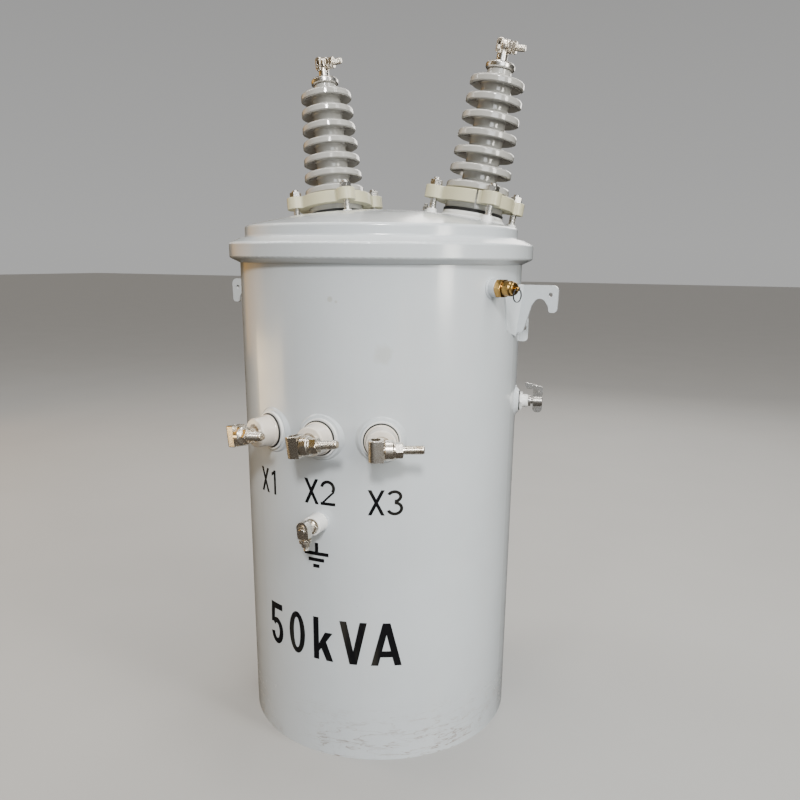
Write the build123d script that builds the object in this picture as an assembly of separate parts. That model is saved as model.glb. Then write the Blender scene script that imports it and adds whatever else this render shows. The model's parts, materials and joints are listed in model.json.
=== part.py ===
from build123d import *
import os
from math import atan2, cos, degrees, hypot, radians, sin, sqrt

os.makedirs("parts", exist_ok=True)

# Millimetres. The origin is on the floor under the middle of the tank, +Z up,
# and the low-voltage side, the front, looks towards -Y.
seat_gap = 0.25
through = 400
weld_root = 8
fuse_depth = 2
wall_cut = 40
cover_cut = 60

# Tank, a round shell that stands on its own lower edge
tank_radius = 250
tank_wall = 4
bottom_plate = 5
bottom_recess = 14

# Joint of tank and cover, held by a clamp band with two sloping lips
joint_height = 872
joint_gasket = 5
joint_rim_reach = 12
band_radius = tank_radius + 18
band_thickness = 3
band_face = 24
band_lip_reach = 17
band_lip_drop = 8
band_corner = 4
band_opening = 26
band_ear_length = 26
band_ear_width = 20
band_ear_plate = 5
band_bolt_radius = 5

# Pressed cover: a sloping rim, an upright step and a shallow dome
cover_sheet = 3
step_radius = tank_radius - 10
step_foot = joint_height + 25
step_top = joint_height + 40
dome_rise = 31
step_corner = 5

# High-voltage bushings: foot on the dome, leaning outwards
hv_reach = 164
hv_angle = 33
hv_lean = 9.5
hv_bore = 38
hv_seat_radius = 54
hv_seat_flare = 5
hv_seat_height = 9
hv_gasket = 5.5
hv_foot_radius = 52
hv_foot_height = 15.5
hv_neck_radius = 42.5
hv_tail_radius = 30
hv_tail_length = 45
shed_count = 7
shed_pitch = 29.2
shed_start = 54
shed_radius_low = 56.5
shed_radius_high = 47.8
shed_rim = 12.5
shed_slope = 5
shed_undercut = 5
core_radius_low = 31
core_radius_high = 26
collar_radius = 20.5
collar_height = 11

# Clamp ring of each high-voltage bushing, a casting in two halves with four lobes
ring_base = 23.5
ring_height = 21
ring_radius = 70
ring_clearance = 1
lobe_circle = 77.5
lobe_radius = 17
lobe_turn = {"right": 6, "left": -14}
ring_split = 3
ring_split_turn = {"right": 77, "left": 48}
stud_radius = 5.5
stud_clearance = 0.8
stud_collar_radius = 8.5
stud_collar_height = 6
stud_end = 4
stud_nut_flats = 19
stud_nut_height = 10

# Cap and clamp terminal on top of each high-voltage bushing
cap_radius = 25.5
cap_height = 11
hv_post_radius = 9.5
hv_post_height = 14
hv_terminal_turn = {"right": -28, "left": -144}

# Low-voltage bushings, three in a row around the front
lv_height = 583
lv_azimuth_middle = 2
lv_azimuth_step = 23
lv_pad_radius = 38
lv_pad_rise = 2
lv_pad_slope = 4
lv_ring_radius = 31.5
lv_ring_depth = 5
lv_bore = 22
lv_gasket_radius = 27.5
lv_gasket_depth = 2.5
lv_flange_radius = 27
lv_flange_depth = 4
lv_barrel_radius = 25.5
lv_tip_radius = 23.7
lv_tip = 39
lv_recess_radius = 14
lv_recess_depth = 5
lv_edge = 2.5
lv_tail_radius = lv_bore - 4
lv_tail_length = 30

# Clamp terminals: an eye for the wire, drawn by a nut against a round block
hv_clamp = {
    "stem_radius": 9, "block_radius": 12, "left": -1, "right": 7,
    "eye_wide": 9.8, "eye_deep": 24, "eye_tall": 20, "hole_wide": 4.2, "hole_deep": 12,
    "shank_radius": 5.2, "shank_end": 38, "flats": 19, "nut": 6, "nut_count": 2,
}
lv_clamp = {
    "stem_radius": 10.5, "block_radius": 15.5, "left": 5, "right": 19,
    "eye_wide": 24, "eye_deep": 27, "eye_tall": 34, "hole_wide": 14, "hole_deep": 19,
    "shank_radius": 6.5, "shank_end": 65, "flats": 22, "nut": 12, "nut_count": 1,
}
clamp_gap = 1
washer_height = 2
lv_clamp_reach = 69
lv_clamp_turn = [8, 8, 1]
hv_clamp_reach = hv_clamp["eye_deep"] / 2 + clamp_gap

# Earth boss and its clamp under the middle low-voltage bushing
earth_azimuth = 1
earth_height = 440
earth_boss_radius = 16
earth_boss_depth = 28
earth_recess_radius = 13
earth_recess_depth = 5
earth_hex_flats = 21
earth_hex_depth = 10
earth_stem_radius = 9
earth_stem_depth = 44
earth_knob_radius = 4.2
earth_knob_inset = 7
earth_knob_rise = 3
earth_pin_radius = 5.5
earth_pin_depth = 61
earth_eye_radius = 10
earth_eye_hole = 6
earth_eye_rise = 6
earth_eye_foot = 13
earth_eye_depth = 13
earth_bolt_lean = 5
earth_bolt_radius = 4
earth_washer_radius = 10
earth_washer_count = 2
earth_nut_flats = 13
earth_nut_height = 7
earth_nut_top = 17.5
earth_bolt_end = 33

# Pressure relief valve on the right side
relief_azimuth = 70
relief_height = joint_height - 55.5
relief_boss_radius = 15
relief_boss_depth = 13
relief_bore_radius = 5
relief_hex_flats = 27
relief_hex_depth = 12
relief_waist_radius = 10.5
relief_waist_depth = 2
relief_body_radius = 12
relief_body_depth = 13
relief_cap_radius = 10
relief_cap_depth = 5
stem_radius = 2
stem_clearance = 0.4
stem_tip_radius = 3.4
stem_tip_gap = 1.2
stem_tip_length = 6
pull_hole_radius = 1.5
pull_wire = 0.8
pull_ring_radius = 10.3
pull_ring_sag = 0.3

# Lifting lugs: a hook plate with a folded wing, one on each side
lug_plate = 6
lug_top = joint_height - 52
lug_reach = tank_radius + 73.5
lug_corner = 10
lug_hook_bottom = lug_top - 44.5
lug_hook_corner = 6.5
lug_hook_inner = lug_reach - 14.5
lug_arch_centre = lug_reach - 30.5
lug_arch_radius = 14
lug_arch_rise = 21
lug_arch_height = lug_top - 34
lug_leg = tank_radius + 16
lug_foot = lug_top - 78
lug_relief = 7
lug_root_reach = tank_radius + 2
lug_root_foot = lug_top - 86
lug_hole_radius = 3.5
lug_hole_reach = lug_reach - 12.7
lug_hole_height = lug_top - 15.5
wing_fold_top = tank_radius + 13
wing_azimuth_top = 11
wing_azimuth_foot = 7.4
wing_foot = lug_top - 74

# Small radial bracket behind the right lug
bracket_azimuth = 111
bracket_reach = tank_radius + 17.5
bracket_foot = lug_top - 103
bracket_height = 44
bracket_plate = 8
bracket_corner = 7
bracket_hole = 5.5

# Tap changer on the right side
tap_azimuth = 103
tap_height = 613
tap_boss_radius = 26
tap_boss_top = 20
tap_boss_depth = 6
tap_gasket_radius = 17.5
tap_gasket_depth = 1.5
tap_nut_flats = 30
tap_nut_depth = 5
tap_neck_radius = 11.5
tap_neck_depth = 10
tap_shaft_radius = 5
tap_shaft_clearance = 0.4
tap_collar_radius = 9.5
tap_collar_depth = 4
tap_running_gap = 0.6
tap_hub_radius = 9
tap_hub_depth = 17
tap_hub_start = 31
tap_paddle = 6
tap_paddle_foot = 20
tap_paddle_top = 26
tap_pointer_top = 34
tap_pointer_reach = 16
tap_pointer_root = 20
tap_pointer_width = 12
tap_screw_hole = 1.4
tap_eye_hole = 1.8

# Hanger brackets on the hidden side, for the two pole bolts
hanger_spacing = 285.75
hanger_upper = 690
hanger_height = 110
hanger_width = 92
hanger_plate = 8
hanger_stand_off = 74
hanger_bend = 10
keyhole_radius = 14
keyhole_slot = 18
keyhole_rise = 34
keyhole_drop = 12


def turned(*points, radii=0):
    """Solid of revolution about Z from an outline of (radius, height) points."""
    corners = [(r, 0, z) for r, z in points]
    outline = FilletPolyline(*corners, radius=radii, close=True)
    return revolve(make_face(outline), Axis.Z, 360)


def rod(radius, start, end):
    """Round bar along Z."""
    return Pos(0, 0, start) * Cylinder(radius, end - start, align=(Align.CENTER, Align.CENTER, Align.MIN))


def ring(outer, inner, start, end):
    """Flat ring along Z."""
    return rod(outer, start, end) - rod(inner, start - 1, end + 1)


def hexagon(flats, start, end, edge=1.2):
    """Hexagon bar along Z with both ends turned to a cone at the corners."""
    prism = extrude(RegularPolygon(flats / 2, 6, major_radius=False), end - start)
    across_corners = flats / sqrt(3) * 2
    cone = turned(
        (0, 0),
        (flats / 2, 0),
        (across_corners / 2 + 0.1, edge),
        (across_corners / 2 + 0.1, end - start - edge),
        (flats / 2, end - start),
        (0, end - start),
    )
    return Pos(0, 0, start) * (prism & cone)


def outwards(azimuth, height, radius=tank_radius):
    """Location with Z pointing out of the tank, X around it and Y up."""
    turn = radians(azimuth)
    out = (sin(turn), -cos(turn), 0)
    around = (cos(turn), sin(turn), 0)
    origin = (radius * out[0], radius * out[1], height)
    return Plane(origin=origin, x_dir=around, z_dir=out).location


def on_bushing(side):
    """Location of a high-voltage bushing's foot, with Z along its leaning axis."""
    angle = hv_angle if side == "right" else 180 - hv_angle
    foot = (hv_reach * cos(radians(angle)), hv_reach * sin(radians(angle)), dome_height(hv_reach))
    return Pos(*foot) * Rot(Z=angle) * Rot(Y=hv_lean)


def dome_height(radius):
    """Height of the dome's outer face at a radius from the tank's axis."""
    ball = (step_radius**2 + dome_rise**2) / (2 * dome_rise)
    return step_top + dome_rise - ball + sqrt(ball**2 - radius**2)


def lip_height(radius):
    """Height of the inner face of the band's lower lip at a radius."""
    slope = band_lip_drop / band_lip_reach
    rise = band_thickness * hypot(band_lip_drop, band_lip_reach) / band_lip_reach
    return band_bottom + (radius - band_radius + band_lip_reach) * slope + rise


band_bottom = joint_height - band_face / 2 - band_lip_drop
joint_rim = tank_radius + joint_rim_reach
curb_top = joint_height - joint_gasket / 2
cover_base = joint_height + joint_gasket / 2
tank_solid = rod(tank_radius, -through, through + joint_height)


def lv_pad():
    """Flat pressed out of the tank wall for a low-voltage bushing."""
    return turned(
        (0, -lv_pad_slope),
        (lv_pad_radius + lv_pad_slope, -lv_pad_slope),
        (lv_pad_radius, 0),
        (lv_pad_radius - lv_pad_rise, lv_pad_rise),
        (0, lv_pad_rise),
    )


def lv_azimuths():
    return [lv_azimuth_middle + lv_azimuth_step * number for number in (-1, 0, 1)]


def make_tank_wall():
    shell = turned(
        (tank_radius - tank_wall, 0),
        (tank_radius, 0),
        (tank_radius, lip_height(tank_radius) + seat_gap),
        (joint_rim, lip_height(joint_rim) + seat_gap),
        (joint_rim, curb_top),
        (tank_radius - tank_wall, curb_top),
    )
    inside = rod(tank_radius - tank_wall, 0, curb_top)
    for azimuth in lv_azimuths():
        place = outwards(azimuth, lv_height)
        shell = shell + (place * lv_pad() - inside)
        shell = shell - place * rod(lv_bore, -wall_cut, wall_cut)
    for azimuth, height, radius in (
        (relief_azimuth, relief_height, relief_bore_radius),
        (tap_azimuth, tap_height, tap_shaft_radius + tap_shaft_clearance),
    ):
        shell = shell - outwards(azimuth, height) * rod(radius, -wall_cut, wall_cut)
    return shell


def make_tank_bottom():
    return rod(tank_radius - tank_wall - seat_gap, bottom_recess, bottom_recess + bottom_plate)


def cover_outline(sheet):
    """Half section of the cover, or of the whole space under it with no sheet."""
    wall = step_radius - sheet
    dome_middle = step_radius / 2
    rim_top = 2 * joint_height - lip_height(joint_rim) - seat_gap
    slope_top = 2 * joint_height - lip_height(step_radius) - seat_gap
    upper = [
        Line((joint_rim, 0, cover_base), (joint_rim, 0, rim_top)),
        Line((joint_rim, 0, rim_top), (step_radius, 0, slope_top)),
        Line((step_radius, 0, slope_top), (step_radius, 0, step_top)),
        ThreePointArc(
            (step_radius, 0, step_top),
            (dome_middle, 0, dome_height(dome_middle)),
            (0, 0, dome_height(0)),
        ),
    ]
    if sheet == 0:
        lower = [
            Line((0, 0, dome_height(0)), (0, 0, cover_base)),
            Line((0, 0, cover_base), (joint_rim, 0, cover_base)),
        ]
    else:
        lower = [
            Line((0, 0, dome_height(0)), (0, 0, dome_height(0) - sheet)),
            ThreePointArc(
                (0, 0, dome_height(0) - sheet),
                (dome_middle, 0, dome_height(dome_middle) - sheet),
                (wall, 0, dome_height(wall) - sheet),
            ),
            Line((wall, 0, dome_height(wall) - sheet), (wall, 0, step_foot - 2 * sheet)),
            Line((wall, 0, step_foot - 2 * sheet), (tank_radius - tank_wall, 0, cover_base)),
            Line((tank_radius - tank_wall, 0, cover_base), (joint_rim, 0, cover_base)),
        ]
    return make_face(Wire(upper + lower))


def rounded_cover(sheet):
    body = revolve(cover_outline(sheet), Axis.Z, 360)
    outer = [
        e
        for e in body.edges().filter_by(GeomType.CIRCLE)
        if abs(e.radius - step_radius) < 0.01 and e.center().Z > joint_height
    ]
    return fillet(outer, step_corner)


def make_cover():
    cover = rounded_cover(cover_sheet)
    for side in ("right", "left"):
        cover = cover - on_bushing(side) * rod(hv_bore, -cover_cut, cover_cut)
    return cover


def make_cover_gasket():
    return ring(joint_rim - 1, tank_radius - tank_wall, curb_top, cover_base)


def band_section(radius):
    """Closed outline of the band's section, with the face at the given radius."""
    outer_lip = radius - band_lip_reach
    top = 2 * joint_height - band_bottom
    inner_face = radius - band_thickness
    outer = [(outer_lip, band_bottom), (radius, band_bottom + band_lip_drop)]
    outer += [(radius, top - band_lip_drop), (outer_lip, top)]
    inner = [(outer_lip, 2 * joint_height - lip_height(outer_lip))]
    inner += [(inner_face, 2 * joint_height - lip_height(inner_face))]
    inner += [(inner_face, lip_height(inner_face)), (outer_lip, lip_height(outer_lip))]
    radii = [0, band_corner, band_corner, 0, 0, band_corner / 4, band_corner / 4, 0]
    return outer + inner, radii


def ear_places():
    """The two ends of the band at the back: the sign of X for each."""
    return (-1, 1)


def make_clamp_band():
    points, radii = band_section(band_radius)
    band = turned(*points, radii=radii)
    gap = Pos(0, band_radius, joint_height) * Box(band_opening, band_radius, 4 * band_face)
    band = band - gap
    for sign in ear_places():
        ear_x = sign * (band_opening / 2 + band_ear_plate / 2)
        ear_y = sqrt(band_radius**2 - (band_opening / 2) ** 2) - band_thickness
        middle = (Align.CENTER, Align.MIN, Align.CENTER)
        ear = Box(band_ear_plate, band_ear_length, band_ear_width, align=middle)
        ear = fillet(ear.edges().filter_by(Axis.X).group_by(Axis.Y)[-1], band_ear_width / 3)
        band = band + Pos(ear_x, ear_y, joint_height) * ear
    hole = Rot(Y=90) * rod(band_bolt_radius + 0.5, -band_opening * 2, band_opening * 2)
    return band - Pos(0, ear_bolt_reach(), joint_height) * hole


def ear_bolt_reach():
    return band_radius + band_ear_length * 0.45


def make_band_bolt():
    half = band_opening / 2 + band_ear_plate + seat_gap
    head = 7
    bolt = rod(band_bolt_radius, -half - head, half + head + 6)
    bolt = bolt + hexagon(band_bolt_radius * 3.4, -half - head, -half)
    bolt = bolt + hexagon(band_bolt_radius * 3.4, half, half + head + 1)
    return Pos(0, ear_bolt_reach(), joint_height) * Rot(Y=90) * bolt


def make_hv_seat(side, cover_space):
    flared = turned(
        (hv_bore, -weld_root),
        (hv_seat_radius + hv_seat_flare, -weld_root),
        (hv_seat_radius + hv_seat_flare, 2),
        (hv_seat_radius, hv_seat_height - 3),
        (hv_seat_radius, hv_seat_height),
        (hv_bore, hv_seat_height),
    )
    return on_bushing(side) * flared - cover_space


def make_hv_gasket(side):
    base = hv_seat_height
    top = hv_seat_height + hv_gasket
    middle = (base + top) / 2
    lip = turned(
        (hv_bore, base),
        (hv_seat_radius - 1, base),
        (hv_seat_radius - 1, middle - 0.9),
        (hv_seat_radius - 3, middle),
        (hv_seat_radius - 1, middle + 0.9),
        (hv_seat_radius - 1, top),
        (hv_bore, top),
    )
    return on_bushing(side) * lip


def shed_radius(number):
    return shed_radius_low + (shed_radius_high - shed_radius_low) * number / (shed_count - 1)


def core_radius(number):
    return core_radius_low + (core_radius_high - core_radius_low) * number / (shed_count - 1)


def make_hv_porcelain(side):
    """One turned outline: tail, foot, neck, seven undercut sheds and the top collar."""
    foot_base = hv_seat_height + hv_gasket
    foot_top = foot_base + hv_foot_height
    points = [(0, foot_base - hv_tail_length), (hv_tail_radius, foot_base - hv_tail_length)]
    radii = [0, 3]
    points += [(hv_tail_radius, foot_base), (hv_foot_radius, foot_base), (hv_foot_radius, foot_top)]
    radii += [0, 1.5, 2]
    points += [(hv_neck_radius, foot_top), (hv_neck_radius, shed_start - shed_rim / 2 - shed_undercut / 2)]
    radii += [0, 0]
    for number in range(shed_count):
        middle = shed_start + number * shed_pitch
        rim = shed_radius(number)
        core = core_radius(number)
        low = middle - shed_rim / 2
        high = middle + shed_rim / 2
        if number > 0:
            points += [(core + 1, low + shed_undercut)]
            radii += [3]
        points += [(rim - 3, low), (rim, low + 1.5), (rim - 0.5, high - 1)]
        radii += [0, 0, 4]
        points += [(core, high + shed_slope)]
        radii += [3]
    last = shed_start + (shed_count - 1) * shed_pitch + shed_rim / 2 + shed_slope
    points[-1] = (collar_radius + 1, last)
    points += [(collar_radius, last + collar_height), (0, last + collar_height)]
    radii += [1.5, 0]
    return on_bushing(side) * turned(*points, radii=radii)


def porcelain_top():
    return shed_start + (shed_count - 1) * shed_pitch + shed_rim / 2 + shed_slope + collar_height


def lobe_angles(side):
    return [lobe_turn[side] + 90 * number for number in range(4)]


def make_hv_ring(side):
    """Two-part casting: it drops over the porcelain foot and bears on its shoulder."""
    foot_top = hv_seat_height + hv_gasket + hv_foot_height
    body = rod(ring_radius, ring_base, ring_base + ring_height)
    for angle in lobe_angles(side):
        body = body + Rot(Z=angle) * Pos(X=lobe_circle) * rod(lobe_radius, ring_base, ring_base + ring_height)
    corners = body.edges().filter_by(Axis.Z)
    body = fillet(corners, 5)
    body = fillet(body.edges().group_by(Axis.Z)[-1], 1.5)
    body = body - rod(hv_foot_radius + ring_clearance, 0, foot_top + seat_gap)
    body = body - rod(hv_neck_radius + ring_clearance, 0, through)
    for angle in lobe_angles(side):
        hole = rod(stud_radius + stud_clearance, 0, through)
        body = body - Rot(Z=angle) * Pos(X=lobe_circle) * hole
    slit = Rot(Z=ring_split_turn[side]) * Box(through, ring_split, through)
    return on_bushing(side) * (body - slit)


def make_hv_studs(side, cover_space):
    """Four welded studs with nuts, each one solid."""
    ring_top = ring_base + ring_height
    studs = []
    for angle in lobe_angles(side):
        stud = rod(stud_radius, -weld_root, ring_top + stud_nut_height + stud_end)
        collar = rod(stud_collar_radius, -weld_root, stud_collar_height)
        nut = hexagon(stud_nut_flats, ring_top + seat_gap, ring_top + stud_nut_height)
        place = on_bushing(side) * Rot(Z=angle) * Pos(X=lobe_circle)
        studs.append(place * (stud + nut + collar) - cover_space)
    return Compound(children=[s.solids()[0] for s in studs])


def make_hv_cap(side):
    top = porcelain_top()
    disc = turned(
        (0, top),
        (cap_radius - 2, top),
        (cap_radius, top + 2),
        (cap_radius, top + cap_height - 3),
        (cap_radius - 3, top + cap_height),
        (0, top + cap_height),
        radii=[0, 0, 0, 1.5, 1.5, 0],
    )
    post = turned(
        (0, top + cap_height),
        (hv_post_radius + 3, top + cap_height),
        (hv_post_radius, top + cap_height + 3),
        (hv_post_radius, top + cap_height + hv_post_height),
        (0, top + cap_height + hv_post_height),
    )
    return on_bushing(side) * (disc + post)


def make_clamp_body(sizes, root, reach):
    """Stem with a round block across it, whose bore takes the shank of the eye bolt."""
    block = Rot(Y=90) * rod(sizes["block_radius"], sizes["left"], sizes["right"])
    block = chamfer(block.edges(), 1.5)
    stem = rod(sizes["stem_radius"], root - reach, 0)
    room = sizes["eye_deep"] + 2 * clamp_gap
    eye_room = Box(through, through, room, align=(Align.MAX, Align.CENTER, Align.CENTER))
    nut_room = Box(through, through, room, align=(Align.MIN, Align.CENTER, Align.CENTER))
    bore = Rot(Y=90) * rod(sizes["shank_radius"] + seat_gap, -through, through)
    body = block + stem - Pos(X=sizes["left"]) * eye_room - Pos(X=sizes["right"]) * nut_room
    return Pos(Z=reach) * (body - bore)


def wire_hole(sizes):
    """Slot through the eye from top to bottom, for the wire."""
    slot = Rot(Z=90) * SlotOverall(sizes["hole_deep"], sizes["hole_wide"])
    return Rot(X=90) * extrude(slot, through, both=True)


def make_clamp_eye(sizes, reach):
    """Eye bolt with washer and nuts: the eye draws the wire against the block."""
    eye_right = sizes["left"] - clamp_gap
    eye_middle = eye_right - sizes["eye_wide"] / 2
    eye = Box(sizes["eye_wide"], sizes["eye_tall"], sizes["eye_deep"])
    upright = eye.edges().filter_by(Axis.Y).sort_by(Axis.X)
    eye = fillet(upright[:2], sizes["eye_wide"] * 0.45)
    eye = chamfer(eye.edges().group_by(Axis.Y)[0] + eye.edges().group_by(Axis.Y)[-1], 1)
    eye = Pos(X=eye_middle) * (eye - wire_hole(sizes))
    wall = (sizes["eye_wide"] - sizes["hole_wide"]) / 2
    shank = Rot(Y=90) * rod(sizes["shank_radius"], eye_right - wall / 2, sizes["shank_end"])
    shank = fillet(shank.edges().group_by(Axis.X)[-1], sizes["shank_radius"] * 0.3)
    start = sizes["right"] + washer_height
    washer = ring(sizes["flats"] * 0.6, sizes["shank_radius"] - 1, sizes["right"] + seat_gap, start)
    bolt = eye + shank + Rot(Y=90) * washer
    for number in range(sizes["nut_count"]):
        low = start + number * (sizes["nut"] + clamp_gap)
        bolt = bolt + Rot(Y=90) * hexagon(sizes["flats"], low, low + sizes["nut"])
    return Pos(Z=reach) * bolt


def hv_terminal_place(side):
    top = porcelain_top() + cap_height + hv_post_height
    return on_bushing(side) * Pos(Z=top) * Rot(Z=hv_terminal_turn[side])


def make_lv_ring(azimuth):
    seat = ring(lv_ring_radius, lv_bore, lv_pad_rise, lv_pad_rise + lv_ring_depth)
    return outwards(azimuth, lv_height) * seat


def make_lv_gasket(azimuth):
    start = lv_pad_rise + lv_ring_depth
    return outwards(azimuth, lv_height) * ring(lv_gasket_radius, lv_bore, start, start + lv_gasket_depth)


def make_lv_porcelain(azimuth):
    start = lv_pad_rise + lv_ring_depth + lv_gasket_depth
    points = [
        (0, start - lv_tail_length),
        (lv_tail_radius, start - lv_tail_length),
        (lv_tail_radius, start),
        (lv_flange_radius, start),
        (lv_flange_radius, start + lv_flange_depth),
        (lv_barrel_radius, start + lv_flange_depth),
        (lv_tip_radius, lv_tip),
        (lv_recess_radius, lv_tip),
        (lv_recess_radius, lv_tip - lv_recess_depth),
        (0, lv_tip - lv_recess_depth),
    ]
    radii = [0, 2, 0, 1, 1, 1, lv_edge, 1, 0, 0]
    return outwards(azimuth, lv_height) * turned(*points, radii=radii)


def on_earth_boss():
    return outwards(earth_azimuth, earth_height)


def make_earth_boss():
    boss = rod(earth_boss_radius, -weld_root, earth_boss_depth)
    boss = chamfer(boss.edges().group_by(Axis.Z)[-1], 1)
    boss = boss - rod(earth_recess_radius, earth_boss_depth - earth_recess_depth, earth_boss_depth + 1)
    return on_earth_boss() * boss - tank_solid


def make_earth_clamp():
    """Hexagon in the boss, a stem with a set screw's boss on top and a pin that carries the eye bolt."""
    recess = earth_boss_depth - earth_recess_depth
    stem = rod(earth_stem_radius, recess + fuse_depth, earth_stem_depth)
    stem = chamfer(stem.edges().group_by(Axis.Z)[-1], 1.5)
    pin = rod(earth_pin_radius, earth_stem_depth - fuse_depth, earth_pin_depth)
    pin = chamfer(pin.edges().group_by(Axis.Z)[-1], 1)
    knob = rod(earth_knob_radius, 0, earth_stem_radius + earth_knob_rise)
    knob = Pos(Z=earth_stem_depth - earth_knob_inset) * Rot(X=-90) * knob
    return on_earth_boss() * (stem + hexagon(earth_hex_flats, recess, recess + earth_hex_depth) + pin + knob)


def make_earth_bolt():
    """Eye bolt whose slot goes round the pin and leaves room for a wire above it; its shank points down."""
    half = earth_eye_depth / 2
    arch = Pos(Y=earth_eye_rise) * rod(earth_eye_radius, -half, half)
    cheeks = Box(2 * earth_eye_radius, earth_eye_rise + earth_eye_foot, earth_eye_depth)
    cheeks = Pos(Y=(earth_eye_rise - earth_eye_foot) / 2) * cheeks
    cheeks = fillet(cheeks.edges().filter_by(Axis.Z).group_by(Axis.Y)[0], 3)
    slot = extrude(Rot(Z=90) * SlotCenterToCenter(earth_eye_rise, 2 * earth_eye_hole), half + 1, both=True)
    eye = arch + cheeks - Pos(Y=earth_eye_rise / 2) * slot
    shank = rod(earth_bolt_radius, -earth_bolt_end, -earth_eye_hole - 1)
    for number in range(earth_washer_count):
        top = -earth_nut_top + number * (washer_height + 1)
        shank = shank + rod(earth_washer_radius, top - washer_height, top)
    nut_top = -earth_nut_top - washer_height
    shank = shank + hexagon(earth_nut_flats, nut_top - earth_nut_height, nut_top)
    middle = earth_stem_depth + clamp_gap + half
    return on_earth_boss() * Pos(Z=middle) * Rot(Z=earth_bolt_lean) * (eye + Rot(X=-90) * shank)


def relief_levels():
    """Distances out of the tank at which the valve's stages end."""
    hexes = relief_boss_depth + relief_hex_depth
    waist = hexes + relief_waist_depth
    body = waist + relief_body_depth
    cap = body + relief_cap_depth
    return hexes, waist, body, cap


def make_relief_boss():
    boss = ring(relief_boss_radius, relief_bore_radius + 1, -weld_root, relief_boss_depth)
    boss = chamfer(boss.edges().group_by(Axis.Z)[-1], 1)
    return outwards(relief_azimuth, relief_height) * boss - tank_solid


def make_relief_body():
    hexes, waist, body, cap = relief_levels()
    valve = hexagon(relief_hex_flats, relief_boss_depth, hexes)
    valve = valve + rod(relief_waist_radius, hexes, waist)
    valve = valve + turned(
        (0, waist),
        (relief_body_radius, waist),
        (relief_body_radius, body - 2),
        (relief_cap_radius, body),
        (relief_cap_radius, cap - 1),
        (relief_cap_radius - 1, cap),
        (0, cap),
    )
    valve = valve - rod(stem_radius + stem_clearance, waist, cap + 1)
    return outwards(relief_azimuth, relief_height) * valve


def pull_hole_height():
    cap = relief_levels()[3]
    return cap + stem_tip_gap + stem_tip_length / 2


def make_relief_stem():
    hexes, waist, body, cap = relief_levels()
    start = cap + stem_tip_gap
    stem = rod(stem_radius, waist + 1, start + 1)
    tip = rod(stem_tip_radius, start, start + stem_tip_length)
    tip = fillet(tip.edges(), 1.2)
    hole = Rot(Y=90) * rod(pull_hole_radius, -through, through)
    return outwards(relief_azimuth, relief_height) * (stem + tip - Pos(Z=pull_hole_height()) * hole)


def make_pull_ring():
    ring_body = Torus(pull_ring_radius, pull_wire)
    drop = pull_ring_radius - pull_ring_sag
    return outwards(relief_azimuth, relief_height) * Pos(0, -drop, pull_hole_height()) * ring_body


def lug_outline():
    """Hook plate in the plane of radius and height."""
    arch_left = lug_arch_centre - lug_arch_radius
    arch_right = lug_arch_centre + lug_arch_radius
    points = [
        (tank_radius - weld_root, lug_top),
        (lug_reach, lug_top),
        (lug_reach - 1, lug_hook_bottom),
        (lug_hook_inner, lug_hook_bottom),
        (arch_right, lug_arch_height),
        (lug_arch_centre, lug_arch_height + lug_arch_rise),
        (arch_left, lug_arch_height),
        (lug_leg, lug_foot),
        (lug_leg - lug_relief, lug_foot),
        (lug_root_reach, lug_root_foot),
        (tank_radius - weld_root, lug_root_foot),
    ]
    radii = [0, lug_corner, lug_hook_corner, 4, 0, lug_arch_radius * 0.8, 0, 3, lug_relief, 0, 0]
    corners = [(r, 0, z) for r, z in points]
    return make_face(FilletPolyline(*corners, radius=radii, close=True))


def make_right_lug():
    plate = extrude(lug_outline(), lug_plate / 2, dir=(0, 1, 0), both=True)
    hole = Pos(lug_hole_reach, 0, lug_hole_height) * Rot(X=90) * rod(lug_hole_radius, -through, through)
    top = radians(90 - wing_azimuth_top)
    foot = radians(90 - wing_azimuth_foot)
    far = tank_radius - weld_root
    fold_foot = Vector(lug_root_reach, 0, lug_root_foot)
    fold_top = Vector(wing_fold_top, 0, lug_top)
    tank_foot = Vector(far * sin(foot), -far * cos(foot), wing_foot)
    across = (fold_top - fold_foot).cross(tank_foot - fold_foot).normalized()
    tank_top_flat = Vector(far * sin(top), -far * cos(top), lug_top)
    tank_top = tank_top_flat - across * (tank_top_flat - fold_foot).dot(across)
    wing_face = make_face(Polyline(fold_foot, fold_top, tank_top, tank_foot, close=True))
    wing = extrude(wing_face, lug_plate / 2, dir=across, both=True)
    return plate + wing - hole - tank_solid


def make_bracket():
    depth = bracket_reach - tank_radius + weld_root
    plate = Box(bracket_plate, bracket_height, depth, align=(Align.CENTER, Align.MIN, Align.MIN))
    plate = Pos(Z=-weld_root) * plate
    corner = plate.edges().filter_by(Axis.X).group_by(Axis.Z)[-1]
    plate = fillet(corner, bracket_corner)
    middle = Pos(0, bracket_height * 0.55, (bracket_reach - tank_radius) * 0.5)
    hole = middle * Rot(Y=90) * rod(bracket_hole, -through, through)
    return outwards(bracket_azimuth, bracket_foot) * (plate - hole) - tank_solid


def tap_levels():
    gasket = tap_boss_depth + tap_gasket_depth
    nut = gasket + tap_nut_depth
    neck = nut + tap_neck_depth
    return gasket, nut, neck


def make_tap_boss():
    boss = turned(
        (tap_shaft_radius + tap_shaft_clearance, -weld_root),
        (tap_boss_radius + 2, -weld_root),
        (tap_boss_radius, 0),
        (tap_boss_top, tap_boss_depth),
        (tap_shaft_radius + tap_shaft_clearance, tap_boss_depth),
        radii=[0, 0, 2, 1.5, 0],
    )
    return outwards(tap_azimuth, tap_height) * boss - tank_solid


def make_tap_gasket():
    gasket = tap_levels()[0]
    inner = tap_shaft_radius + tap_shaft_clearance
    return outwards(tap_azimuth, tap_height) * ring(tap_gasket_radius, inner, tap_boss_depth, gasket)


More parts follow.
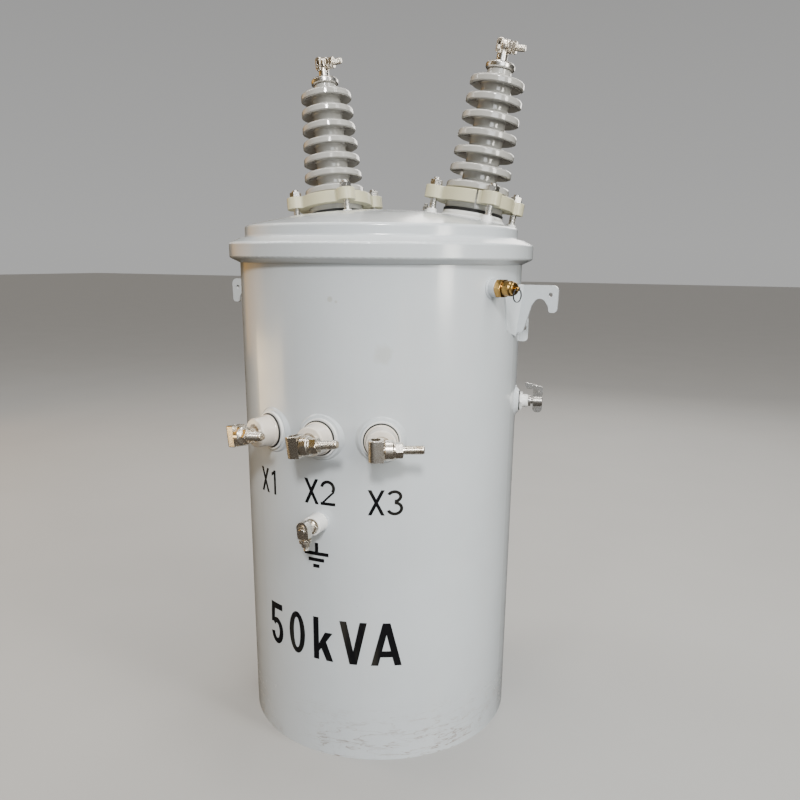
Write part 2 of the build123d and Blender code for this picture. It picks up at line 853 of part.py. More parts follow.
def make_tap_neck():
    gasket, nut, neck = tap_levels()
    body = hexagon(tap_nut_flats, gasket, nut) + rod(tap_neck_radius, nut, neck)
    body = chamfer(body.edges().group_by(Axis.Z)[-1], 1.5)
    body = body - rod(tap_shaft_radius + tap_shaft_clearance, 0, neck + 1)
    return outwards(tap_azimuth, tap_height) * body


def make_tap_handle():
    """Shaft, hub and upright paddle whose top bends back to the tank as a pointer."""
    neck = tap_levels()[2]
    hub_end = tap_hub_start + tap_hub_depth
    shaft = rod(tap_shaft_radius, 1, tap_hub_start + 1)
    collar = rod(tap_collar_radius, neck + tap_running_gap, neck + tap_running_gap + tap_collar_depth)
    hub = rod(tap_hub_radius, tap_hub_start, hub_end)
    hub = chamfer(hub.edges(), 1)
    outline = [
        (tap_hub_start, -tap_paddle_foot),
        (hub_end, -tap_paddle_foot),
        (hub_end, tap_paddle_top),
        (tap_pointer_reach, tap_pointer_top),
        (tap_pointer_reach, tap_pointer_top - tap_pointer_width / 2),
        (tap_pointer_root, tap_pointer_top - tap_pointer_width),
        (tap_hub_start, tap_pointer_top - tap_pointer_width),
    ]
    corners = [(0, up, out) for out, up in outline]
    radii = [7, 7, 4, 1, 2, 2, 1]
    paddle = make_face(FilletPolyline(*corners, radius=radii, close=True))
    paddle = extrude(paddle, tap_paddle / 2, dir=(1, 0, 0), both=True)
    screw = Pos(0, 0, tap_hub_start + 5) * Rot(Y=90) * rod(tap_screw_hole, 3, through)
    eye = Pos(0, tap_paddle_top - 7, hub_end - 6) * Rot(Y=90) * rod(tap_eye_hole, -through, through)
    handle = shaft + collar + hub + paddle
    return outwards(tap_azimuth, tap_height) * (handle - screw - eye)


def make_hanger(height):
    """Channel bent from plate, with a keyhole in its web for the pole bolt."""
    reach = tank_radius + hanger_stand_off
    half = hanger_width / 2
    inner = half - hanger_plate
    start = tank_radius - 20
    section = [
        (-half, start), (-half, reach), (half, reach), (half, start),
        (inner, start), (inner, reach - hanger_plate), (-inner, reach - hanger_plate), (-inner, start),
    ]
    bend = hanger_bend
    radii = [0, bend, bend, 0, 0, bend - hanger_plate, bend - hanger_plate, 0]
    face = make_face(FilletPolyline(*[(x, y, 0) for x, y in section], radius=radii, close=True))
    channel = Pos(Z=height - hanger_height / 2) * extrude(face, hanger_height, dir=(0, 0, 1))
    middle = height - keyhole_drop
    big = Pos(0, reach, middle) * Rot(X=90) * rod(keyhole_radius, -hanger_plate * 2, hanger_plate * 2)
    slot = Pos(0, reach, middle + keyhole_rise / 2) * Box(keyhole_slot, hanger_plate * 4, keyhole_rise)
    slot_end = Pos(Z=keyhole_rise) * Pos(0, reach, middle) * Rot(X=90)
    slot_end = slot_end * rod(keyhole_slot / 2, -hanger_plate * 2, hanger_plate * 2)
    return channel - big - slot - slot_end - tank_solid


def together(shapes):
    """Several solids that don't touch, kept in one file."""
    return Compound(children=[s for shape in shapes for s in shape.solids()])


def main():
    cover_space = rounded_cover(0)
    sides = ("right", "left")
    parts = {
        "tank_wall": make_tank_wall(),
        "tank_bottom": make_tank_bottom(),
        "cover": make_cover(),
        "cover_gasket": make_cover_gasket(),
        "clamp_band": make_clamp_band(),
        "band_bolt": make_band_bolt(),
        "hv_seats": together([make_hv_seat(side, cover_space) for side in sides]),
        "hv_gaskets": together([make_hv_gasket(side) for side in sides]),
        "lv_seat_rings": together([make_lv_ring(azimuth) for azimuth in lv_azimuths()]),
        "lv_gaskets": together([make_lv_gasket(azimuth) for azimuth in lv_azimuths()]),
        "earth_boss": make_earth_boss(),
        "earth_clamp": make_earth_clamp(),
        "earth_bolt": make_earth_bolt(),
        "relief_boss": make_relief_boss(),
        "relief_body": make_relief_body(),
        "relief_stem": make_relief_stem(),
        "pull_ring": make_pull_ring(),
        "right_lug": make_right_lug(),
        "left_lug": mirror(make_right_lug(), Plane.YZ),
        "side_bracket": make_bracket(),
        "tap_boss": make_tap_boss(),
        "tap_gasket": make_tap_gasket(),
        "tap_neck": make_tap_neck(),
        "tap_handle": make_tap_handle(),
        "upper_hanger": make_hanger(hanger_upper),
        "lower_hanger": make_hanger(hanger_upper - hanger_spacing),
    }
    for side in sides:
        parts[f"hv_porcelain_{side}"] = make_hv_porcelain(side)
        parts[f"hv_ring_{side}"] = make_hv_ring(side)
        parts[f"hv_studs_{side}"] = make_hv_studs(side, cover_space)
        parts[f"hv_cap_{side}"] = make_hv_cap(side)
        place = hv_terminal_place(side)
        parts[f"hv_terminal_{side}"] = place * make_clamp_body(hv_clamp, 0, hv_clamp_reach)
        parts[f"hv_eye_bolt_{side}"] = place * make_clamp_eye(hv_clamp, hv_clamp_reach)
    for number, azimuth in enumerate(lv_azimuths(), 1):
        parts[f"lv_porcelain_{number}"] = make_lv_porcelain(azimuth)
        place = outwards(azimuth, lv_height) * Rot(Z=lv_clamp_turn[number - 1])
        start = lv_tip - lv_recess_depth
        parts[f"lv_terminal_{number}"] = place * make_clamp_body(lv_clamp, start, lv_clamp_reach)
        parts[f"lv_eye_bolt_{number}"] = place * make_clamp_eye(lv_clamp, lv_clamp_reach)
    for name, shape in parts.items():
        export_step(shape, f"parts/{name}.step")


main()
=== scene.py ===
import json
from math import ceil, cos, hypot, pi, radians, sin, sqrt

import bmesh
import bpy
from bpy.props import FloatProperty, FloatVectorProperty, IntProperty, PointerProperty
from bpy.types import Operator, Panel, PropertyGroup
from mathutils import Matrix, Vector, noise


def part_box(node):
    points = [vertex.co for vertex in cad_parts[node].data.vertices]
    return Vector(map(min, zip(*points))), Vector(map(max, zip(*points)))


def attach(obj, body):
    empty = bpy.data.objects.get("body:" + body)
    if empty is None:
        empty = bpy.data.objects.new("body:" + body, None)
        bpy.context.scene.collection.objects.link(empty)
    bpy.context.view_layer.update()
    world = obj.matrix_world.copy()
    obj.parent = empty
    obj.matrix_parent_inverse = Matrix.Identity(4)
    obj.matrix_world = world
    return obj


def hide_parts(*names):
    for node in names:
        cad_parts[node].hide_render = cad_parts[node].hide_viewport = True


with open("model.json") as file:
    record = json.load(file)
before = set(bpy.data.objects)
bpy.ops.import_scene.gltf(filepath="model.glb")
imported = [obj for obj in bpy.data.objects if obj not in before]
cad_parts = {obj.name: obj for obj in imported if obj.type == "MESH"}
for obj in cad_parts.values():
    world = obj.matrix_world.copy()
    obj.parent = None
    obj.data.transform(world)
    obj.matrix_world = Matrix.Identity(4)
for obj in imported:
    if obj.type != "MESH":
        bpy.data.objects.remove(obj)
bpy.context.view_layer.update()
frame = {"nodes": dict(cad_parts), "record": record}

bl_info = {
    "name": "Pole Transformer Dressing",
    "version": (1, 0, 0),
    "blender": (4, 5, 0),
    "location": "View3D > Sidebar > Transformer",
    "description": "Finishes, markings, threads, welds and small fittings of a pole mounted transformer",
    "category": "Object",
}

THREAD_DEPTH = 0.5

# Read from the frame
NODES = frame["nodes"]
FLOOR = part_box("tank_wall")[0].z

# Driving sizes that the dressing is fitted to, in metres and degrees, as the part's source has them
TANK_RADIUS = 0.250
STEP_RADIUS = 0.240
STEP_TOP = 0.912
DOME_RISE = 0.031
BAND_HEIGHT, BAND_BOLT_REACH = 0.872, 0.2797
HV_REACH, HV_ANGLE, HV_LEAN = 0.164, 33.0, 9.5
HV_SEAT_RADIUS = 0.059
HV_GASKET_RADIUS, HV_GASKET_LOW, HV_GASKET_HIGH = 0.053, 0.009, 0.0145
HV_TERMINAL_HEIGHT = 0.28945
HV_TERMINAL_TURN = {"right": -28, "left": -144}
LOBE_CIRCLE, LOBE_TURN = 0.0775, {"right": 6, "left": -14}
RING_BASE, NUT_TOP, STUD_TOP = 0.0235, 0.0545, 0.0585
STUD_COLLAR_RADIUS, STUD_COLLAR_HEIGHT = 0.0085, 0.006
LV_AZIMUTHS, LV_HEIGHT, LV_REACH, LV_TURNS = (-21, 2, 25), 0.583, 0.069, (8, 8, 1)
LV_GASKET_RADIUS, LV_GASKET_FOOT = 0.0277, 0.007
EARTH_AZIMUTH, EARTH_HEIGHT, EARTH_LEAN, EARTH_BOLT_REACH = 1, 0.440, 5, 0.0515
EARTH_BOSS_RADIUS = 0.016
RELIEF_AZIMUTH, RELIEF_HEIGHT = 70, 0.8165
RELIEF_BOSS_RADIUS = 0.015
LUG_THICKNESS, LUG_TOP, LUG_FOOT = 0.006, 0.820, 0.734
WING_TOP, WING_FOOT, WING_FOOT_HEIGHT = 79, 82.6, 0.746
BRACKET_AZIMUTH, BRACKET_FOOT, BRACKET_HEIGHT, BRACKET_THICKNESS = 111, 0.717, 0.044, 0.008
HANGER_HEIGHTS, HANGER_HALF_WIDTH, HANGER_HALF_HEIGHT = (0.690, 0.40425), 0.046, 0.055
TAP_AZIMUTH, TAP_HEIGHT, TAP_BOSS_RADIUS = 103, 0.613, 0.027
BOTTOM_RADIUS, BOTTOM_HEIGHT = 0.2455, 0.014
PULL_RING_RADIUS, PULL_RING_SAG, PULL_RING_REACH = 0.0103, 0.0003, 0.0492

# Sizes of what only the dressing has
PULL_WIRE = 0.0006
SPLIT_TURN, SPLIT_END, SPLIT_CROSSING = radians(-35), 0.06, 0.6
COVER_STUD = (0.064, 0.050)
GASKET_LIP = 0.0013
SEAM_AZIMUTH, SEAM_FOOT, SEAM_TOP = 150, 0.003, 0.853

# Threaded bars: radius, and where the thread starts and ends
LV_SHANK = (0.0065, 0.0334, 0.0628)
HV_SHANK = (0.0052, 0.0224, 0.0364)
EARTH_SHANK, EARTH_PITCH = (0.004, 0.0268, 0.0327), 0.001
BAND_SHANK = (0.005, 0.0264, 0.0311)
STUD_RADIUS = 0.0055

# Markings: figure, azimuth, foot, width of the X, and left edge and width of the figure
TERMINAL_SIGNS = (
    ("1", -24.2, 0.4690, 0.0245, 0.0035, 0.0115),
    ("2", 1.2, 0.4692, 0.0270, 0.0017, 0.0262),
    ("3", 26.6, 0.4575, 0.0278, 0.0015, 0.0275),
)
TERMINAL_LEFT, TERMINAL_STROKE = -0.0288, 0.12
# The rating's signs with left edge and width, and strokes as a share of the height
RATING_SIGNS = (
    ("5", -0.1335, 0.0360), ("0", -0.0806, 0.0360), ("k", -0.0264, 0.0375),
    ("V", 0.0231, 0.0480), ("A", 0.0780, 0.0530),
)
RATING_AZIMUTH, RATING_FOOT, RATING_STROKE = 3.3, 0.186, 0.132
# The earth symbol's stem, and its bars by height and half width, down from the top
EARTH_SIGN_AZIMUTH, EARTH_SIGN_TOP, EARTH_LINE = -0.8, 0.401, 0.0062
EARTH_STEM_SIDE, EARTH_STEM_LENGTH = 0.0012, 0.020
EARTH_BARS = ((-0.0190, 0.0232), (-0.0301, 0.0150), (-0.0412, 0.0060))

# Stains on the wall: middle, reach and strength
STAINS = (
    ((0.1076, -0.2256, 0.718), 0.022, 0.28),
    ((0.0283, -0.2484, 0.800), 0.006, 0.5),
    ((0.0386, -0.2470, 0.796), 0.004, 0.5),
)


class PaintSettings(PropertyGroup):
    """Colours of the painted steel and of the two glazes."""

    tank: FloatVectorProperty(
        name="Tank Paint", description="Colour of the tank, cover, band and lugs",
        subtype="COLOR", size=3, min=0, max=1, default=(0.615, 0.655, 0.685),
    )
    seat: FloatVectorProperty(
        name="Seat Paint", description="Colour of the seats, rings and bosses coated in white",
        subtype="COLOR", size=3, min=0, max=1, default=(0.92, 0.925, 0.91),
    )
    ring: FloatVectorProperty(
        name="Clamp Ring Paint", description="Colour of the cast clamp rings on the cover",
        subtype="COLOR", size=3, min=0, max=1, default=(0.55, 0.52, 0.355),
    )
    hv_glaze: FloatVectorProperty(
        name="Upper Glaze", description="Colour of the tall bushings' glaze",
        subtype="COLOR", size=3, min=0, max=1, default=(0.40, 0.395, 0.375),
    )
    lv_glaze: FloatVectorProperty(
        name="Lower Glaze", description="Colour of the short bushings' glaze",
        subtype="COLOR", size=3, min=0, max=1, default=(0.80, 0.74, 0.66),
    )
    scuffs: FloatProperty(
        name="Scuffs", description="How strongly the rubbed marks near the foot show",
        subtype="FACTOR", min=0, max=1, default=0.85,
    )


class MarkingSettings(PropertyGroup):
    """Sizes of the stencilled markings."""

    film: FloatProperty(
        name="Film", description="Thickness of the paint film of a marking",
        subtype="DISTANCE", unit="LENGTH", min=0.0001, max=0.001, default=0.0003,
    )
    rating_height: FloatProperty(
        name="Rating Height", description="Height of the rating's figures",
        subtype="DISTANCE", unit="LENGTH", min=0.02, max=0.15, default=0.0795,
    )
    terminal_height: FloatProperty(
        name="Terminal Height", description="Height of the terminal markings",
        subtype="DISTANCE", unit="LENGTH", min=0.01, max=0.1, default=0.0428,
    )


class FittingSettings(PropertyGroup):
    """Sizes of threads and welds."""

    coarse_pitch: FloatProperty(
        name="Coarse Pitch", description="Thread pitch of the large terminal bolts",
        subtype="DISTANCE", unit="LENGTH", min=0.0005, max=0.004, default=0.0018,
    )
    fine_pitch: FloatProperty(
        name="Fine Pitch", description="Thread pitch of studs and small bolts",
        subtype="DISTANCE", unit="LENGTH", min=0.0005, max=0.003, default=0.0013,
    )
    bead: FloatProperty(
        name="Weld Bead", description="Radius of the weld beads under the paint",
        subtype="DISTANCE", unit="LENGTH", min=0.0005, max=0.006, default=0.0024,
    )
    ripple: FloatProperty(
        name="Weld Ripple", description="Length of one ripple of a weld bead",
        subtype="DISTANCE", unit="LENGTH", min=0.001, max=0.01, default=0.0032,
    )
    seed: IntProperty(name="Seed", description="Start of the beads' unevenness", min=0, default=7)


class StageSettings(PropertyGroup):
    """Camera, floor and lights."""

    ambient: FloatProperty(
        name="Ambient", description="Strength of the even surroundings", min=0, max=3, default=0.8,
    )
    brightness: FloatProperty(
        name="Brightness", description="Factor on the power of every light", min=0, max=5, default=1.08,
    )
    lens: FloatProperty(
        name="Lens", description="Focal length of the camera",
        subtype="DISTANCE_CAMERA", unit="CAMERA", min=10, max=200, default=35.045,
    )
    rise: FloatProperty(
        name="Lens Rise", description="Vertical shift that frames the object as the photograph does",
        min=-0.3, max=0.3, default=0.0875,
    )
    distance: FloatProperty(
        name="Distance", description="From the tank's axis to the camera, along the floor",
        subtype="DISTANCE", unit="LENGTH", min=0.5, max=10, default=1.4516,
    )
    height: FloatProperty(
        name="Height", description="Height of the camera",
        subtype="DISTANCE", unit="LENGTH", min=0, max=5, default=0.8613,
    )
    side: FloatProperty(
        name="Side", description="How far the camera stands to the right of the front",
        subtype="ANGLE", min=-pi, max=pi, default=radians(25),
    )
    turn: FloatProperty(
        name="Turn", description="How far the camera looks to the right of the axis",
        subtype="ANGLE", min=-1, max=1, default=radians(1.43),
    )
    tilt: FloatProperty(
        name="Tilt", description="How far the camera looks down",
        subtype="ANGLE", min=-1, max=1, default=radians(15.22),
    )
    roll: FloatProperty(
        name="Roll", description="Turn of the camera about its own line of sight",
        subtype="ANGLE", min=-1, max=1, default=radians(0.526),
    )


def settings(name):
    return getattr(bpy.context.scene, f"transformer_{name}")


# Places


def on_tank(azimuth, height, radius=TANK_RADIUS):
    """Matrix at the tank's wall: X around it, Y up, Z straight out. Azimuth in degrees from the front."""
    a = radians(azimuth)
    around = Vector((cos(a), sin(a), 0))
    out = Vector((sin(a), -cos(a), 0))
    up = Vector((0, 0, 1))
    return place_from(out * radius + up * height, around, up, out)


def place_from(origin, x_axis, y_axis, z_axis):
    rows = [(x_axis[i], y_axis[i], z_axis[i], origin[i]) for i in range(3)]
    return Matrix(rows + [(0, 0, 0, 1)])


def shifted(x=0.0, y=0.0, z=0.0):
    return Matrix.Translation((x, y, z))


def turned(degrees, axis):
    return Matrix.Rotation(radians(degrees), 4, axis)


def on_circle(place, radius, turn, height=0.0):
    """Point at an angle, in radians, round a place's Z."""
    return place @ Vector((radius * cos(turn), radius * sin(turn), height))


def dome_height(radius):
    """Height of the dome's outer face at a radius from the tank's axis."""
    ball = (STEP_RADIUS**2 + DOME_RISE**2) / (2 * DOME_RISE)
    return STEP_TOP + DOME_RISE - ball + sqrt(ball**2 - radius**2)


def on_bushing(side):
    """Matrix at the foot of a tall bushing, Z along its leaning axis."""
    angle = HV_ANGLE if side == "right" else 180 - HV_ANGLE
    x, y = HV_REACH * cos(radians(angle)), HV_REACH * sin(radians(angle))
    return shifted(x, y, dome_height(HV_REACH)) @ turned(angle, "Z") @ turned(HV_LEAN, "Y")


def stud_places():
    """One matrix for each stud of the clamp rings, Z up along the stud."""
    places = []
    for side in ("right", "left"):
        for number in range(4):
            turn = turned(LOBE_TURN[side] + 90 * number, "Z")
            places.append(on_bushing(side) @ turn @ shifted(x=LOBE_CIRCLE))
    return places


# Meshes


def piece_from(bm, name, body, material, smooth=True, replaced=()):
    """Turns a bmesh into a piece that rides on a body, with the given material, and hides the parts that it
    replaces.
    """
    bmesh.ops.remove_doubles(bm, verts=bm.verts, dist=1e-6)
    bmesh.ops.recalc_face_normals(bm, faces=bm.faces)
    mesh = bpy.data.meshes.new(name)
    bm.to_mesh(mesh)
    bm.free()
    mesh.materials.append(material)
    if smooth:
        mesh.shade_smooth()
        mesh.set_sharp_from_angle(angle=radians(38))
    piece = bpy.data.objects.new(name, mesh)
    bpy.context.scene.collection.objects.link(piece)
    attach(piece, body)
    if replaced:
        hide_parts(*replaced)
    return piece


def bridge(bm, ring_a, ring_b, closed=True):
    """Quads between two rows of as many vertices."""
    count = len(ring_a)
    for i in range(count if closed else count - 1):
        j = (i + 1) % count
        bm.faces.new((ring_a[i], ring_a[j], ring_b[j], ring_b[i]))


def lathe(bm, place, profile, steps=48):
    """Turns a profile of (radius, height) about a place's Z. Its ends close where the radius is 0."""
    rings = []
    for radius, height in profile:
        if radius < 1e-7:
            rings.append([bm.verts.new(place @ Vector((0, 0, height)))])
            continue
        turn = [2 * pi * i / steps for i in range(steps)]
        rings.append([bm.verts.new(on_circle(place, radius, t, height)) for t in turn])
    for low, high in zip(rings, rings[1:]):
        if len(low) == 1 or len(high) == 1:
            tip = low[0] if len(low) == 1 else high[0]
            rim = high if len(low) == 1 else low
            for i in range(steps):
                bm.faces.new((tip, rim[i], rim[(i + 1) % steps]))
        else:
            bridge(bm, low, high)


def thread(bm, place, radius, start, end, pitch, steps=28):
    """Ridges of a one-start thread round a bar about a place's Z, fading into the bar at both ends."""
    depth = pitch * THREAD_DEPTH
    root = radius - depth / 4
    count = int((end - start) / pitch * steps)
    roots, crests = [], []
    for i in range(count + 1):
        t = 2 * pi * i / steps
        fade = min(1, i / steps, (count - i) / steps)
        height = start + (end - start) * i / count
        roots.append(bm.verts.new(on_circle(place, root, t, height)))
        crests.append(bm.verts.new(on_circle(place, root + depth * fade, t, height + pitch / 2 * fade)))
    for i in range(count):
        bm.faces.new((roots[i], roots[i + 1], crests[i + 1], crests[i]))
        if i + steps + 1 <= count:
            bm.faces.new((crests[i], crests[i + 1], roots[i + steps + 1], roots[i + steps]))


def tube(bm, points, radii, sides=8, closed=False):
    """Round bar along a row of points, with its own radius at each."""
    count = len(points)
    rings = []
    side = None
    for i, point in enumerate(points):
        before = points[i - 1] if i or closed else point
        after = points[(i + 1) % count] if i + 1 < count or closed else point
        along = (after - before).normalized()
        hint = along.orthogonal() if side is None else side
        side = (hint - along * hint.dot(along)).normalized()
        other = along.cross(side)
        turn = [2 * pi * k / sides for k in range(sides)]
        rings.append([bm.verts.new(point + (side * cos(t) + other * sin(t)) * radii[i]) for t in turn])
    for low, high in zip(rings, rings[1:]):
        bridge(bm, low, high)
    if closed:
        bridge(bm, rings[-1], rings[0])
    else:
        bm.faces.new(rings[0])
        bm.faces.new(list(reversed(rings[-1])))


def rippled(path, length, radius, seed, closed=False):
    """Points along a path, a function of 0 to 1, with the radii of a hand-laid weld bead."""
    sizes = settings("fittings")
    count = max(8, int(length / (sizes.ripple / 5)))
    points, radii = [], []
    for i in range(count if closed else count + 1):
        f = i / count
        point = path(f)
        wave = abs(sin(pi * f * length / sizes.ripple))
        swell = noise.noise(point * 90 + Vector((seed, 0, 0)))
        points.append(point)
        radii.append(radius * (0.86 + 0.12 * wave + 0.14 * swell))
    return points, radii


def bead(bm, path, length, seed, closed=False, scale=1.0):
    """One weld bead along a path."""
    points, radii = rippled(path, length, settings("fittings").bead * scale, seed, closed)
    tube(bm, points, radii, closed=closed)


# Markings


def on_wall(x, y, azimuth, height, depth):
    """Point of a flat drawing, in metres, wrapped round the tank and held depth above it."""
    a = radians(azimuth) + x / TANK_RADIUS
    radius = TANK_RADIUS + depth
    return Vector((radius * sin(a), -radius * cos(a), height + y))


def even_rows(edge_a, edge_b, longest=0.004):
    """Adds rows between two edges, so that no stretch bends more than the wall does."""
    rows = [(edge_a[0], edge_b[0])]
    for (a0, b0), (a1, b1) in zip(zip(edge_a, edge_b), zip(edge_a[1:], edge_b[1:])):
        parts = max(1, int(ceil(max(abs(a1[0] - a0[0]), abs(b1[0] - b0[0])) / longest)))
        for k in range(1, parts + 1):
            f = k / parts
            rows.append((
                (a0[0] + (a1[0] - a0[0]) * f, a0[1] + (a1[1] - a0[1]) * f),
                (b0[0] + (b1[0] - b0[0]) * f, b0[1] + (b1[1] - b0[1]) * f),
            ))
    return rows


def ribbon(bm, edge_a, edge_b, azimuth, height, film, closed=False, across=4):
    """One brush stroke between two edges, as a thin solid on the wall."""
    rows = even_rows(edge_a, edge_b)
    layers = []
    for depth in (-film, film):
        grid = []
        for a, b in rows:
            line = []
            for k in range(across + 1):
                f = k / across
                line.append(bm.verts.new(on_wall(a[0] + (b[0] - a[0]) * f, a[1] + (b[1] - a[1]) * f,
                                                 azimuth, height, depth)))
            grid.append(line)
        layers.append(grid)
    inner, outer = layers
    count = len(rows)
    for i in range(count if closed else count - 1):
        j = (i + 1) % count
        for k in range(across):
            bm.faces.new((outer[i][k], outer[i][k + 1], outer[j][k + 1], outer[j][k]))
            bm.faces.new((inner[i][k], inner[j][k], inner[j][k + 1], inner[i][k + 1]))
        for k in (0, across):
            bm.faces.new((inner[i][k], outer[i][k], outer[j][k], inner[j][k]))
    if not closed:
        for i in (0, count - 1):
            for k in range(across):
                bm.faces.new((inner[i][k], inner[i][k + 1], outer[i][k + 1], outer[i][k]))


def bar(low_left, low_right, top_right, top_left):
    """Straight stroke with level ends, as a ribbon's two edges."""
    return [low_left, top_left], [low_right, top_right]


def bow(cx, cy, rx, ry, half, start, end, steps=24):
    """Curved stroke along part of an ellipse, angles in degrees."""
    inner, outer = [], []
    for i in range(steps + 1):
        t = radians(start + (end - start) * i / steps)
        inner.append((cx + (rx - half) * cos(t), cy + (ry - half) * sin(t)))
        outer.append((cx + (rx + half) * cos(t), cy + (ry + half) * sin(t)))
    return inner, outer


def glyph(sign, w, h, s):
    """Strokes of one sign in a box w wide and h high, drawn with stroke width s."""
    t = s / 2
    slant = s * 1.18
    if sign == "X":
        return [
            bar((0, 0), (slant, 0), (w, h), (w - slant, h)),
            bar((w - slant, 0), (w, 0), (slant, h), (0, h)),
        ]
    if sign == "1":
        return [
            bar((w - s, 0), (w, 0), (w, h), (w - s, h)),
            bar((0, h * 0.74), (0, h * 0.74 + s * 1.1), (w - s * 0.6, h), (w - s * 0.6, h - s * 1.15)),
        ]
    if sign == "2":
        r = w / 2
        return [
            bow(r, h - r, r - t, r - t, t, 172, -38),
            bar(
                (0, s * 0.5), (slant * 1.1, s * 0.9),
                (w - s * 0.12, h - r * 1.5), (w - s * 1.12, h - r * 1.52),
            ),
            bar((0, 0), (w, 0), (w, s), (0, s)),
        ]
    if sign == "3":
        upper, lower = h * 0.25, h * 0.28
        return [
            bow(w * 0.48, h - upper, w * 0.46 - t, upper - t, t, 158, -88),
            bow(w * 0.5, lower, w / 2 - t, lower - t, t, 92, -160),
        ]
    if sign == "5":
        return [
            bar((w * 0.06, h - s * 1.1), (w * 0.96, h - s * 1.1), (w * 0.96, h), (w * 0.06, h)),
            bar(
                (w * 0.02, h * 0.49), (w * 0.02 + s * 0.95, h * 0.52),
                (w * 0.06 + s, h - t), (w * 0.06, h - t),
            ),
            bow(w * 0.48, h * 0.32, w * 0.5 - t, h * 0.32 - t, t, 137, -168, 32),
        ]
    if sign == "0":
        return [bow(w / 2, h / 2, w / 2 - t, h / 2 - t, t, 0, 360, 48)]
    if sign == "k":
        return [
            bar((0, 0), (s, 0), (s, h), (0, h)),
            bar(
                (s * 0.6, h * 0.29), (s * 0.6, h * 0.12),
                (w * 0.98, h * 0.67), (w * 0.98 - s * 1.35, h * 0.67),
            ),
            bar((w - s * 1.2, 0), (w, 0), (w * 0.46 + s * 0.62, h * 0.47), (w * 0.46 - s * 0.5, h * 0.37)),
        ]
    if sign == "V":
        return [
            bar((w / 2 - s * 0.62, 0), (w / 2 + s * 0.5, 0), (slant, h), (0, h)),
            bar((w / 2 - s * 0.5, 0), (w / 2 + s * 0.62, 0), (w, h), (w - slant, h)),
        ]
    if sign == "A":
        foot = h * 0.20
        return [
            bar((0, 0), (slant, 0), (w / 2 + s * 0.5, h), (w / 2 - s * 0.62, h)),
            bar((w - slant, 0), (w, 0), (w / 2 + s * 0.62, h), (w / 2 - s * 0.5, h)),
            bar((w * 0.2, foot), (w * 0.8, foot), (w * 0.73, foot + s * 1.1), (w * 0.27, foot + s * 1.1)),
        ]
    raise ValueError(f"no strokes for {sign!r}")


def write_marking(name, signs, azimuth, foot, film, material):
    """One marking: signs are (sign, left edge, width, height, stroke) in metres from the azimuth's line."""
    bm = bmesh.new()
    for sign, left, width, tall, stroke in signs:
        for inner, outer in glyph(sign, width, tall, stroke):
            edge_a = [(x + left, y) for x, y in inner]
            edge_b = [(x + left, y) for x, y in outer]
            ribbon(bm, edge_a, edge_b, azimuth, foot, film, closed=sign == "0")
    return piece_from(bm, name, "tank", material, smooth=False)


# Finishes


class Tree:
    """Short calls that add and join nodes."""

    def __init__(self, tree):
        self.tree = tree

    def add(self, kind, inputs=None, **options):
        node = self.tree.nodes.new(kind)
        for key, value in options.items():
            setattr(node, key, value)
        for key, value in (inputs or {}).items():
            socket = node.inputs[key]
            if isinstance(value, bpy.types.NodeSocket):
                self.tree.links.new(value, socket)
            else:
                socket.default_value = value
        return node

    def join(self, output, target):
        self.tree.links.new(output, target)

    def math(self, operation, a, b=0.5):
        return self.add("ShaderNodeMath", {0: a, 1: b}, operation=operation).outputs[0]

    def fade(self, value, low, high, to_low=0.0, to_high=1.0):
        ranged = {"Value": value, "From Min": low, "From Max": high, "To Min": to_low, "To Max": to_high}
        return self.add("ShaderNodeMapRange", ranged).outputs["Result"]

    def noise(self, coordinates, scale, detail=3.0, rough=0.5):
        wanted = {"Vector": coordinates, "Scale": scale, "Detail": detail, "Roughness": rough}
        return self.add("ShaderNodeTexNoise", wanted).outputs["Fac"]

    def blend(self, factor, a, b, kind="MIX"):
        node = self.add("ShaderNodeMix", data_type="RGBA", blend_type=kind)
        for socket, value in ((node.inputs[0], factor), (node.inputs[6], a), (node.inputs[7], b)):
            if isinstance(value, bpy.types.NodeSocket):
                self.join(value, socket)
            else:
                socket.default_value = value
        return node.outputs[2]


def effect(name, inputs, outputs):
    """New node group with named sockets: the group, its calls, its inputs and its outputs."""
    group = bpy.data.node_groups.new(name, "ShaderNodeTree")
    kinds = {"colour": "NodeSocketColor", "value": "NodeSocketFloat", "vector": "NodeSocketVector"}
    for socket_name, kind, default in inputs:
        socket = group.interface.new_socket(socket_name, in_out="INPUT", socket_type=kinds[kind])
        if default is not None:
            socket.default_value = default
    for socket_name, kind in outputs:
        group.interface.new_socket(socket_name, in_out="OUTPUT", socket_type=kinds[kind])
    tree = Tree(group)
    return group, tree, tree.add("NodeGroupInput").outputs, tree.add("NodeGroupOutput").inputs


